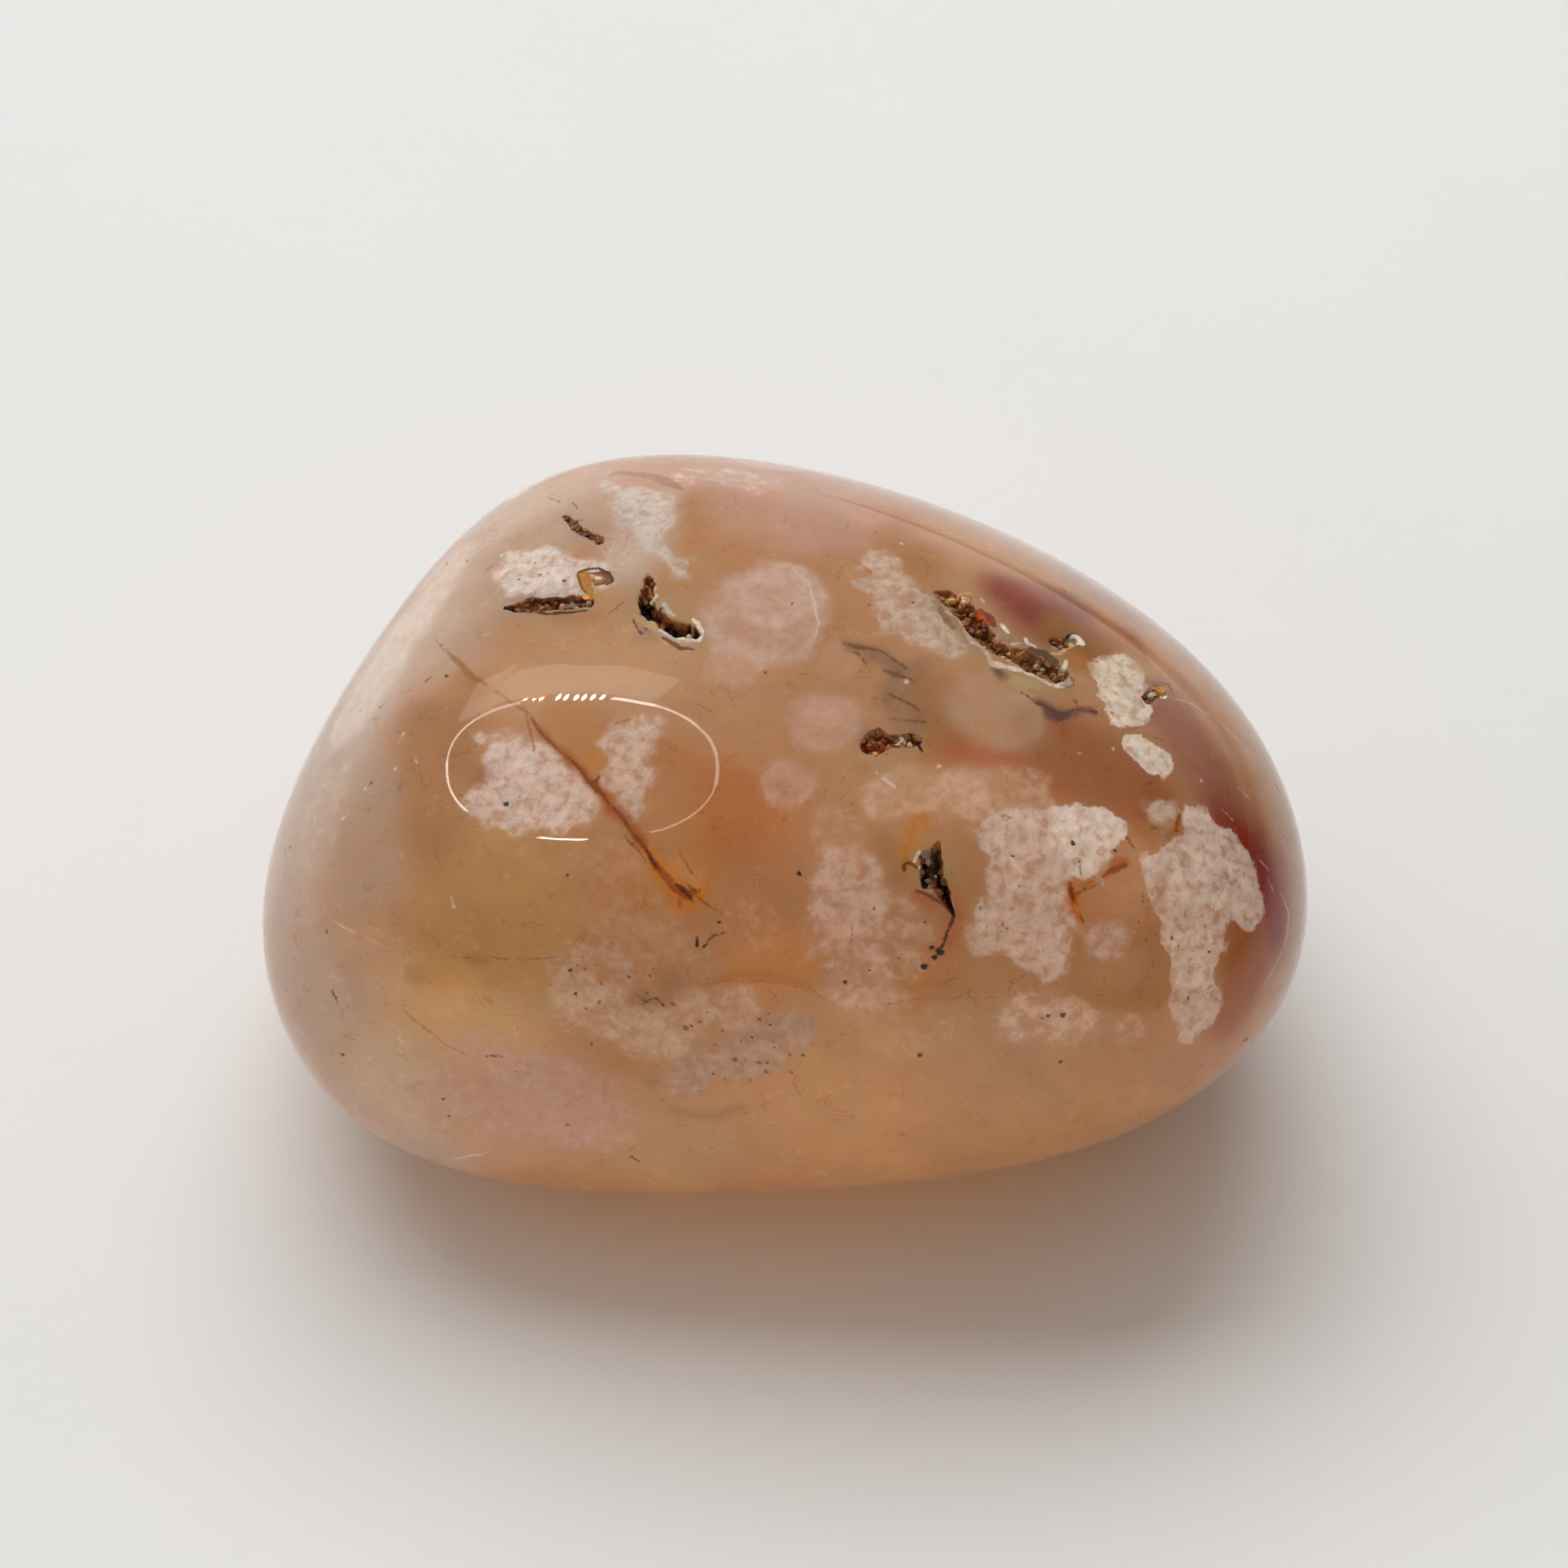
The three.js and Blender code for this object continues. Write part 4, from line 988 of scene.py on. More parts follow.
DARK_TICKS = [
    [(-17.0, -7.8, 0.03), (-16.8, -8.3, 0.02)],
    [(-11.2, -10.25, 0.03), (-10.6, -10.25, 0.02)],
    [(-5.8, -14.0, 0.05), (-5.5, -14.2, 0.03)],
    [(-3.3, -5.65, 0.02), (-3.25, -6.05, 0.07)],
    [(11.1, -2.8, 0.02), (11.2, -3.4, 0.03)],
    [(-19.45, -3.0, 0.08), (-19.45, -3.9, 0.06)],
    [(18.4, 0.15, 0.02), (18.7, -0.35, 0.06)],
    [(18.7, -1.85, 0.02), (18.95, -2.25, 0.05)],
]
# Painted glints: small pale dots and ticks where tiny nicks in the polished skin catch the light.
GLINT_DOTS = [
    (-10.65, 8.6, 0.09), (4.6, 3.85, 0.1), (5.85, 0.65, 0.08), (11.1, 1.15, 0.07), (12.4, 1.3, 0.06),
    (-14.65, 0.6, 0.07), (15.7, 0.15, 0.07), (4.45, 9.05, 0.07), (7.75, 9.05, 0.08), (-15.8, -0.2, 0.06),
]
GLINT_TICKS = [
    [(-14.5, 1.5, 0.02), (-14.35, 1.9, 0.05)],
    [(-16.6, -1.3, 0.05), (-16.4, -1.1, 0.02)],
    [(-12.6, -4.2, 0.02), (-12.45, -4.6, 0.06)],
    [(-13.95, 1.1, 0.02), (-13.8, 0.8, 0.04)],
    [(-17.7, -1.2, 0.04), (-17.65, -1.5, 0.02)],
]

# Where dense, tiny dark specks lie: a place, a radius and how dense. They thin out between these shares of
# the radius.
SPECKLE_THINNING = (0.55, 1.15)
SPECKLE_COLOUR = (104, 66, 46)
SPECKLES = [
    ((-6.6, -7.6), 2.0, 0.9), ((-4.4, -8.4), 1.8, 1.0), ((-1.0, -10.0), 1.9, 1.0), ((-3.4, -10.9), 1.4, 0.8),
    ((3.4, -5.4), 1.7, 0.45), ((9.0, -5.2), 1.9, 0.4), ((15.4, -6.4), 2.2, 0.4), ((-9.6, -1.0), 1.8, 0.4),
    ((-9.4, -11.6), 2.2, 0.35), ((12.6, 3.5), 1.2, 0.5), ((4.4, 7.0), 1.6, 0.4), ((-9.0, 8.0), 1.6, 0.4),
]

# Bands of agate that run parallel to the right and top rim: how far in from the first, how dark, and up to
# where the line is looked for. The stripes are noise of this size and seed.
RIM_BAND = [
    (6.0, 9.6), (9.0, 8.5), (12.0, 6.9), (14.5, 4.6), (16.4, 2.2), (18.0, -0.4), (18.8, -3.0), (18.9, -6.0),
]
RIM_BAND_WIDTH = 2.6
RIM_BAND_DEPTH = 0.07
RIM_BAND_MARGIN = 4.0
RIM_STRIPES = (0.7, 5)

# How the edges of each layer waver: the size of the swirls, how far they move a point, and their seed.
WAVERING = {
    "zones": (2.6, 0.8, 11),
    "bands": (2.5, 0.35, 23),
    "hazes": (0.9, 0.28, 41),
    "stains": (0.7, 0.16, 53),
    "speckles": (0.9, 0.4, 59),
    "marks": (0.45, 0.06, 67),
    "plumes": (0.8, 0.12, 83),
    "paint": (0.22, 0.045, 91),
}


def compose(under, over, amount):
    """One colour laid over others, by these amounts."""
    return under + (over - under) * amount[:, None]


def far_point(bearing, rise):
    return on_skin((HEART + direction(bearing, rise))[None])[0]


def matrix_colours(points):
    """The colour of the stone between its plumes."""
    wavering = warped(points, *WAVERING["zones"])
    colours = np.tile(linear(MATRIX), (len(points), 1))
    zones = []
    for bearing, rise, *rest in FAR_ZONES:
        zones.append((np.linalg.norm(wavering - far_point(bearing, rise), axis=1), *rest))
    for places, radius, *rest in ZONES:
        zones.append((seen_line(places).gaps(wavering, ZONE_MARGIN * radius), radius, *rest))
    for distance, radius, colour, amount in zones:
        fading = smooth(ZONE_CORE, ZONE_EDGE, distance / radius)
        colours = compose(colours, linear(colour), amount * (1 - fading))
    return colours


def rim_bands(points):
    """How dark the agate's bands are at each point, from -1 to 1."""
    gaps = seen_line(RIM_BAND).gaps(warped(points, *WAVERING["bands"]), RIM_BAND_MARGIN)
    stripes = noise(np.stack([gaps, gaps * 0, gaps * 0], axis=1), *RIM_STRIPES, octaves=3)
    return stripes * (1 - smooth(RIM_BAND_WIDTH * 0.5, RIM_BAND_WIDTH, gaps))


def inside_outline(places, outline):
    """Which places on the sighting plane lie inside a closed outline."""
    inside = np.zeros(len(places), bool)
    ends = np.roll(outline, -1, axis=0)
    for (x0, y0), (x1, y1) in zip(outline, ends):
        crosses = (y0 > places[:, 1]) != (y1 > places[:, 1])
        rise = np.where(y1 == y0, 1e-9, y1 - y0)
        crossing = x0 + (places[:, 1] - y0) * (x1 - x0) / rise
        inside ^= crosses & (places[:, 0] < crossing)
    return inside


def plume_layer(points):
    """The signed distance from the nearest crisp plume's edge, less than 0 in it, with its colour, how solid
    it is and how faded its edge."""
    gaps = np.full(len(points), PLUME_MARGIN)
    fading = np.full(len(points), PLAIN_FADE)
    colours = np.tile([*linear(CREAM), 0.0], (len(points), 1))
    places = sighted(points)
    faces_viewer = (outward_at(points) * unit(EYE - points)).sum(1) > 0
    for colour, solid, faded, outline in PLUMES.values():
        distance = seen_line([*outline, outline[0]]).gaps(points, PLUME_MARGIN)
        inside = faces_viewer & (distance < PLUME_MARGIN) & inside_outline(places, np.array(outline))
        signed = np.where(inside, -distance, distance)
        nearer = signed < gaps
        gaps = np.minimum(gaps, signed)
        colours[nearer] = [*linear(colour), solid]
        fading[nearer] = faded
    chance = np.random.default_rng(7)
    for bearing, rise, radius, colour, solid, faded in FAR_PLUMES:
        signed = lobed_gaps(points, far_point(bearing, rise), radius, chance)
        nearer = signed < gaps
        gaps = np.minimum(gaps, signed)
        colours[nearer] = [*linear(colour), solid]
        fading[nearer] = faded
    return gaps, colours, fading


def lobed_gaps(points, middle, radius, chance):
    """The signed distance from the edge of a plume with lobes at random round its middle."""
    outward = outward_at(middle[None])[0]
    side = unit(np.cross(outward, [0.3, 0.2, 1.0]))
    signed = np.linalg.norm(points - middle, axis=1) - radius * CORE_SIZE
    for lobe in range(LOBES_EACH):
        turn = 2 * math.pi * lobe / LOBES_EACH + chance.uniform(-LOBE_TURN, LOBE_TURN)
        away = radius * chance.uniform(*LOBE_DISTANCES)
        size = radius * chance.uniform(*LOBE_SIZES)
        step = math.cos(turn) * side + math.sin(turn) * np.cross(outward, side)
        centre = on_skin((middle + away * step)[None])[0]
        signed = np.minimum(signed, np.linalg.norm(points - centre, axis=1) - size)
    return np.minimum(signed, PLUME_MARGIN)


def haze_layer(points):
    """The colour of the deeper, softer plumes and of the painted reflections along the left rim, how much of
    them shows, and how broken up they are.
    """
    colours = np.tile(linear(PINK_CREAM), (len(points), 1))
    cover = np.zeros(len(points))
    flecked = np.zeros(len(points))
    wavering = warped(points, *WAVERING["hazes"])
    lines = [(seen_line(places), *rest) for places, *rest in HAZES]
    for bearing, rise, *rest in FAR_HAZES:
        middle = far_point(bearing, rise)
        lines.append((Track([middle, middle + [DOT_LENGTH, 0, 0]], [0, 0]), *rest))
    for line, radius, colour, solid, softness, broken in lines:
        distance = line.gaps(wavering, radius + softness + 0.1)
        start, end = LOBE_PALER
        paler = LOBE_MIDDLE + (1 - LOBE_MIDDLE) * smooth(start * radius, end * radius, distance)
        amount = solid * paler * (1 - smooth(radius - softness, radius + softness, distance))
        share = amount / np.maximum(cover + amount, 1e-6)
        colours = compose(colours, linear(colour), share)
        flecked = flecked + (broken - flecked) * share
        cover = cover + amount * (1 - cover)
    return np.concatenate([colours, cover[:, None]], axis=1), flecked


def stain_layer(points):
    """The colour of the soft stains, and how strong they are."""
    colours = np.tile(linear(RUST), (len(points), 1))
    cover = np.zeros(len(points))
    wavering = warped(points, *WAVERING["stains"])
    stains = [(*look, seen_track(track)) for *look, track in STAINS]
    stains += [(*HALO, vein) for vein in far_veins()]
    for colour, strong, softness, track in stains:
        gaps = track.gaps(wavering, STAIN_MARGIN)
        amount = strong * (1 - smooth(-softness * STAIN_CORE, softness, gaps))
        colours = compose(colours, linear(colour), amount / np.maximum(cover + amount, 1e-6))
        cover = cover + amount * (1 - cover)
    return np.concatenate([colours, cover[:, None]], axis=1)


def speckle_layer(points):
    """How dense the tiny dark specks are at each point."""
    wavering = warped(points, *WAVERING["speckles"])
    dense = np.zeros(len(points))
    for place, radius, amount in SPECKLES:
        distance = np.linalg.norm(wavering - seen_at(place)[0], axis=1) / radius
        dense = np.maximum(dense, amount * (1 - smooth(*SPECKLE_THINNING, distance)))
    return dense


def far_veins():
    for places, widest in FAR_VEINS:
        points = [far_point(bearing, rise) for bearing, rise in places]
        halves = widest * np.sin(np.linspace(VEIN_ENDS, math.pi - VEIN_ENDS, len(points)))
        yield Track(points, halves)


def far_specks():
    """Dark specks and short ticks, scattered over the sides that the front doesn't show."""
    chance = np.random.default_rng(29)
    for _ in range(FAR_SPECKS):
        point = far_point(chance.uniform(*SPECK_BEARINGS), chance.uniform(*SPECK_RISES))
        end = on_skin((point + chance.normal(0, SPECK_LENGTH, 3))[None])[0]
        half = chance.uniform(*SPECK_HALVES)
        yield Track([point, end], [half, 0.5 * half])


def mark_tracks():
    """Every crisp mark and painted glint, as (track, colour, how solid)."""
    for colour, solid, tracks in MARKS.values():
        for track in tracks:
            yield seen_track(track), colour, solid
    for speck in [*DARK_DOTS, *DARK_TICKS]:
        yield seen_track(speck), DARK, SPECK_SOLID
    for vein in far_veins():
        yield vein, FAR_VEIN_COLOUR, FAR_VEIN_SOLID
    for speck in far_specks():
        yield speck, DARK, SPECK_SOLID
    for dot in [*GLINT_DOTS, *GLINT_TICKS]:
        yield seen_track(dot), GLINT_COLOUR, GLINT_SOLID


def mark_layer(points, marks):
    """The signed distance from the nearest crisp mark's edge, with its colour and how solid it is. A later
    mark lies over the earlier ones."""
    gaps = np.full(len(points), MARK_MARGIN)
    colours = np.tile([*linear(DARK), 0.0], (len(points), 1))
    wavering = warped(points, *WAVERING["marks"])
    for track, colour, solid in marks:
        signed = track.gaps(wavering, MARK_MARGIN)
        colours[(signed < gaps) | (signed < 0)] = [*linear(colour), solid]
        gaps = np.minimum(gaps, signed)
    return gaps, colours


def first_skin():
    """An even ball of triangles, put on the skin."""
    ball = bmesh.new()
    bmesh.ops.create_icosphere(ball, subdivisions=FIRST_SUBDIVISIONS, radius=1)
    ball.verts.ensure_lookup_table()
    points = np.array([v.co for v in ball.verts])
    triangles = np.array([[v.index for v in f.verts] for f in ball.faces])
    ball.free()
    return on_skin(HEART + points), triangles


def halve_long_edges(points, triangles, wanted):
    """Halves each edge that is longer than is wanted there, and puts the new points on the skin. A triangle
    that is cut at all is cut across its longest edge, so that none gets thin."""
    while True:
        sides = np.stack([triangles, np.roll(triangles, -1, axis=1)], axis=2).reshape(-1, 2)
        edges, side_edge = np.unique(np.sort(sides, axis=1), axis=0, return_inverse=True)
        side_edge = side_edge.reshape(-1, 3)
        ends = points[edges]
        lengths = np.linalg.norm(ends[:, 0] - ends[:, 1], axis=1)
        middles = ends.mean(1)
        cut = lengths > wanted(middles)
        if not cut.any():
            return points, triangles
        rows = np.arange(len(triangles))
        longest = side_edge[rows, lengths[side_edge].argmax(1)]
        count = -1
        while cut.sum() != count:
            count = cut.sum()
            cut[longest[cut[side_edge].any(1)]] = True
        new_point = np.full(len(edges), -1)
        new_point[cut] = len(points) + np.arange(count)
        points = np.concatenate([points, on_skin(middles[cut])])
        triangles = cut_triangles(triangles, new_point[side_edge], lengths[side_edge].argmax(1))


def cut_triangles(triangles, halves, longest):
    """Cuts each triangle at the halves of its sides, -1 where a side isn't cut. Side i runs from corner i."""
    rows = np.arange(len(triangles))
    turn = (longest[:, None] + np.arange(3)) % 3
    a, b, c = triangles[rows[:, None], turn].T
    m, n, p = halves[rows[:, None], turn].T
    whole = m < 0
    only = (m >= 0) & (n < 0) & (p < 0)
    next_too = (m >= 0) & (n >= 0) & (p < 0)
    last_too = (m >= 0) & (n < 0) & (p >= 0)
    every = (m >= 0) & (n >= 0) & (p >= 0)
    parts = [triangles[whole]]
    for case, corners in (
        (only, ((a, m, c), (m, b, c))),
        (next_too, ((a, m, c), (m, b, n), (m, n, c))),
        (last_too, ((m, b, c), (a, m, p), (m, c, p))),
        (every, ((a, m, p), (m, b, n), (p, n, c), (m, n, p))),
    ):
        parts += [np.stack([corner[case] for corner in three], axis=1) for three in corners]
    return np.concatenate(parts)


def lay_over(colours, cover, colour, amount):
    """Lays a colour over a layer by these amounts, and returns the layer's new colours and cover."""
    total = amount + cover * (1 - amount)
    colours = compose(colours, linear(colour), amount / np.maximum(total, 1e-6))
    return colours, total


def hollow_layer(points, inside):
    """The colour in and beside the hollows, and how much it covers."""
    colours = np.tile(linear(HOLLOW_FLOOR), (len(points), 1))
    amount, size, seed = FLOOR_SPOTS
    colours = colours * (1 + amount * noise(points, size, seed, octaves=2))[:, None]
    cover = inside
    wavering = warped(points, *WAVERING["paint"])
    for strokes in PAINT.values():
        for colour, track in strokes:
            gaps = seen_track(track).gaps(wavering, STROKE_MARGIN)
            colours, cover = lay_over(colours, cover, colour, 1 - smooth(*STROKE_EDGE, gaps))
    dark = 1 - smooth(*DARK_COLOURS, colours.mean(1))
    colours = np.clip(colours * (1 + IN_SHADE * inside * dark)[:, None], 0, BRIGHTEST_PAINT)
    return np.concatenate([colours, cover[:, None]], axis=1)


def wanted_edges(hollows, marks):
    """How long an edge may be, as a function of where its middle is."""

    def wanted(middles):
        longest = np.full(len(middles), PLAIN_EDGE)
        for track in hollows:
            gaps = np.maximum(track.gaps(middles, HOLLOW_MARGIN) - HOLLOW_RIM, 0)
            longest = np.minimum(longest, HOLLOW_EDGE + EDGE_GROWTH * gaps)
        for track in marks:
            gaps = np.maximum(track.gaps(middles, MARK_MARGIN) - MARK_RIM, 0)
            longest = np.minimum(longest, MARK_EDGE + EDGE_GROWTH * gaps)
        return longest

    return wanted


def sink_hollows(points, hollows):
    """How deep each point sinks under the skin, and how far it is inside a hollow, from 0 to 1."""
    sunk = np.zeros(len(points))
    inside = np.zeros(len(points))
    ragged = sum(amount * noise(points, size, seed) for amount, size, seed in RAGGED)
    amount, size, seed = LUMPS
    lumps = 1 - amount + amount * noise(points, size, seed, octaves=2)
    amount, size, seed = LEDGES
    ledges = amount * np.abs(noise(points, size, seed, octaves=2))
    for (depth, _), track in zip(HOLLOWS.values(), hollows):
        gaps = track.gaps(points, HOLLOW_MARGIN)
        gaps = gaps + ragged * (gaps < HOLLOW_MARGIN)
        half = track.halves.mean()
        share = smooth(WALL_START, -half * WALL_END, gaps)
        sunk = np.maximum(sunk, share * (depth * lumps - ledges))
        inside = np.maximum(inside, smooth(*INSIDE_EDGE, gaps))
    return sunk, inside


def add_values(mesh, name, values):
    """Stores a number, or a colour with its cover, at each point of a mesh."""
    if values.ndim == 1:
        layer = mesh.attributes.new(name, "FLOAT", "POINT")
        layer.data.foreach_set("value", values.astype(np.float32))
        return
    if values.shape[1] == 3:
        values = np.concatenate([values, np.ones((len(values), 1))], axis=1)
    layer = mesh.attributes.new(name, "FLOAT_COLOR", "POINT")
    layer.data.foreach_set("color", values.astype(np.float32).ravel())


def make_mesh(name, points, triangles):
    mesh = bpy.data.meshes.new(name)
    mesh.from_pydata((points * MM).tolist(), [], triangles.tolist())
    mesh.polygons.foreach_set("use_smooth", np.ones(len(mesh.polygons), bool))
    mesh.update()
    piece = bpy.data.objects.new(name, mesh)
    bpy.context.scene.collection.objects.link(piece)
    return piece


# Most of a noise texture's values lie between these. Where a ramp in a look has two values of its own, what
# it does goes from its first amount at the first of them to its second amount at the second.
NOISE_RANGE = (0.2, 0.8)

# Quartz bends light this much.
QUARTZ_IOR = 1.54

# How rough the polished skin is, from its smoothest to its dullest places, and what the hollows add.
POLISH = (0.01, 0.018)
HOLLOW_ROUGHNESS = 0.3

# How far light scatters under the skin: red, green and blue as shares of this many millimetres.
SCATTER = 8.0
SCATTER_SHARES = (1.0, 0.5, 0.28)


class Nodes:
    """A material's node tree, with short calls for the nodes that it is made of."""

    def __init__(self, name):
        self.material = bpy.data.materials.new(name)
        self.material.use_nodes = True
        self.tree = self.material.node_tree
        self.tree.nodes.clear()

    @classmethod
    def around_tree(cls, tree):
        """The same calls for a tree that is there already, emptied first."""
        nodes = cls.__new__(cls)
        nodes.tree = tree
        tree.nodes.clear()
        return nodes

    def add(self, kind, inputs=None, **settings):
        """A node with these settings. Its inputs get values or other nodes' outputs, by name or number."""
        node = self.tree.nodes.new(kind)
        for key, value in settings.items():
            setattr(node, key, value)
        for socket, value in (inputs or {}).items():
            self.put(node.inputs[socket], value)
        return node

    def put(self, socket, value):
        if isinstance(value, bpy.types.NodeSocket):
            self.tree.links.new(value, socket)
        else:
            socket.default_value = value

    def math(self, operation, *values):
        return self.add("ShaderNodeMath", dict(enumerate(values)), operation=operation).outputs[0]

    def vectors(self, operation, *values):
        return self.add("ShaderNodeVectorMath", dict(enumerate(values)), operation=operation).outputs

    def ramp(self, value, low, high, to_low=0.0, to_high=1.0):
        """The value spread smoothly from low..high to to_low..to_high, and held at the ends."""
        numbers = dict(enumerate((value, low, high, to_low, to_high)))
        return self.add("ShaderNodeMapRange", numbers, interpolation_type="SMOOTHSTEP").outputs[0]

    def ramp_line(self, value, low, high, to_low, to_high):
        """The value spread evenly, also beyond the ends."""
        numbers = dict(enumerate((value, low, high, to_low, to_high)))
        return self.add("ShaderNodeMapRange", numbers, clamp=False).outputs[0]

    def around(self, value, spread):
        """Noise from 0 to 1 turned into a factor around 1."""
        return self.ramp_line(value, *NOISE_RANGE, 1 - spread, 1 + spread)

    def between(self, first, second, share):
        """A value that goes from the first to the second as the share goes from 0 to 1."""
        rest = self.math("MULTIPLY", first, self.math("SUBTRACT", 1.0, share))
        return self.math("ADD", rest, self.math("MULTIPLY", second, share))

    def mix(self, amount, first, second):
        inputs = {"Factor": amount, "A": first, "B": second}
        return self.add("ShaderNodeMix", inputs, data_type="RGBA", blend_type="MIX").outputs["Result"]

    def noise(self, place, size, detail=3.0, roughness=0.5, distortion=0.0, output="Fac"):
        """Noise whose lumps are about this many millimetres. It runs from 0 to 1 around 0.5."""
        inputs = {
            "Vector": place, "Scale": 1 / size,
            "Detail": detail, "Roughness": roughness, "Distortion": distortion,
        }
        return self.add("ShaderNodeTexNoise", inputs, noise_dimensions="3D").outputs[output]

    def cells(self, place, size, output="Distance"):
        """The distance from the middle of the nearest cell of this size, or the cell's random colour."""
        inputs = {"Vector": place, "Scale": 1 / size}
        return self.add("ShaderNodeTexVoronoi", inputs, feature="F1").outputs[output]

    def facets(self, place, size):
        """A random value from 0 to 1 for each cell of this size."""
        colour = self.cells(place, size, "Color")
        return self.add("ShaderNodeSeparateColor", {"Color": colour}).outputs["Red"]

    def parts(self, vector):
        """A vector's x, y and z."""
        return self.add("ShaderNodeSeparateXYZ", {0: vector}).outputs

    def stored(self, name):
        return self.add("ShaderNodeAttribute", attribute_name=name).outputs

    def place(self):
        """The place on the object, in millimetres."""
        return self.tinted(self.add("ShaderNodeTexCoord").outputs["Object"], 1 / MM)

    def swirled(self, place, size, amount):
        """The place moved about at random by this many millimetres, in swirls of this size."""
        shift = self.noise(place, size, detail=2.0, output="Color")
        return self.vectors("MULTIPLY_ADD", shift, (2 * amount,) * 3, place)["Vector"]

    def tinted_by(self, colour, factors):
        """A colour whose red, green and blue are each made lighter or darker by a factor."""
        return self.vectors("MULTIPLY", colour, factors)["Vector"]

    def tinted(self, colour, factor):
        """A colour made lighter or darker by a factor."""
        inputs = {0: colour, "Scale": factor}
        return self.add("ShaderNodeVectorMath", inputs, operation="SCALE").outputs["Vector"]

    def surface(self, look, bump=None):
        """Ends the material with this look, and a bump of this height, depth (millimetres) and strength."""
        if bump:
            height, depth, strength = bump
            inputs = {"Height": height, "Distance": depth * MM, "Strength": strength}
            look = {**look, "Normal": self.add("ShaderNodeBump", inputs).outputs["Normal"]}
        shader = self.add("ShaderNodeBsdfPrincipled", look)
        self.add("ShaderNodeOutputMaterial", {"Surface": shader.outputs["BSDF"]})
        return self.material


# The matrix's warmer patches and paler veils, and a plume's pinker gaps and whiter crumbs, each as factors on
# red, green and blue.
WARMER = (1.03, 0.92, 0.8)
PALER = (1.08, 1.1, 1.14)
PINKER = (0.88, 0.77, 0.7)
WHITER = (1.12, 1.17, 1.22)

# The thin cracks: the size of their bends, how long the gaps in them are, and their factors on the colour.
HAIRLINES = [
    (2.6, 1.3, (0.7, 0.54, 0.42)),
    (1.4, 0.9, (0.8, 0.66, 0.54)),
    (1.9, 1.0, (1.25, 1.3, 1.35)),
]


def matrix_look(nodes, place, grain):
    """The cloudy stone between the plumes, with faint warmer patches and thin wandering lines."""
    matrix = nodes.stored("matrix")["Color"]
    warmer = nodes.tinted_by(matrix, WARMER)
    patches = nodes.noise(place, 1.9, detail=3.0, distortion=1.0)
    matrix = nodes.mix(nodes.ramp(patches, 0.45, 0.72, 0.0, 0.6), matrix, warmer)
    paler = nodes.tinted_by(matrix, PALER)
    veils = nodes.noise(place, 1.1, detail=5.0, roughness=0.6, distortion=1.5)
    matrix = nodes.mix(nodes.ramp(veils, 0.5, 0.75, 0.0, 0.7), matrix, paler)
    matrix = nodes.tinted(matrix, nodes.around(nodes.noise(place, 3.2, detail=3.0, distortion=0.8), 0.1))
    matrix = nodes.tinted(matrix, nodes.around(grain, 0.035))
    return hairlines(nodes, place, matrix)


def hairlines(nodes, place, colour):
    """Short, thin, wandering cracks: brown ones, and pale ones that catch the light."""
    for size, broken_by, factors in HAIRLINES:
        wander = nodes.noise(place, size, detail=4.0, roughness=0.55, distortion=1.2)
        away = nodes.math("ABSOLUTE", nodes.math("SUBTRACT", wander, 0.5))
        shown = nodes.ramp(nodes.noise(place, broken_by, detail=1.0, distortion=0.6), 0.54, 0.64, 0.0, 0.6)
        line = nodes.math("MULTIPLY", nodes.ramp(away, 0.002, 0.026 / size, 1.0, 0.0), shown)
        colour = nodes.mix(line, colour, nodes.tinted_by(colour, factors))
    return colour


def crumbly(nodes, colour, flecks, clumps, grain, contrast):
    """A plume's colour broken into whitish crumbs with pinker gaps between them."""
    gap = nodes.tinted_by(colour, PINKER)
    crumbs = nodes.mix(nodes.ramp(flecks, 0.36, 0.5, contrast, 0.0), colour, gap)
    whiter = nodes.tinted_by(colour, WHITER)
    crumbs = nodes.mix(nodes.ramp(flecks, 0.5, 0.62, 0.0, contrast), crumbs, whiter)
    crumbs = nodes.tinted(crumbs, nodes.around(clumps, 0.18 * contrast))
    return nodes.tinted(crumbs, nodes.around(grain, 0.06 * contrast))


def haze_look(nodes, colour, clumps, flecks, grain):
    """The deeper plumes, and the painted reflections along the left rim. Some are smooth, and some are broken
    into crumbs with the matrix between.
    """
    haze = nodes.stored("haze")
    even = nodes.math("MULTIPLY", haze["Alpha"], nodes.around(clumps, 0.35))
    broken = nodes.math("ADD", haze["Alpha"], nodes.ramp_line(flecks, *NOISE_RANGE, -0.4, 0.4))
    broken = nodes.math("ADD", broken, nodes.ramp_line(clumps, *NOISE_RANGE, -0.4, 0.4))
    near = nodes.ramp(haze["Alpha"], 0.0, 0.25)
    broken = nodes.math("MULTIPLY", nodes.ramp(broken, 0.15, 0.85, 0.0, 0.9), near)
    flecked = nodes.stored("flecked")["Fac"]
    shown = nodes.between(even, broken, flecked)
    crumbs = crumbly(nodes, haze["Color"], flecks, clumps, grain, 0.7)
    textured = nodes.mix(nodes.ramp(flecked, 0.0, 0.7, 0.25, 1.0), haze["Color"], crumbs)
    return nodes.mix(shown, colour, textured)


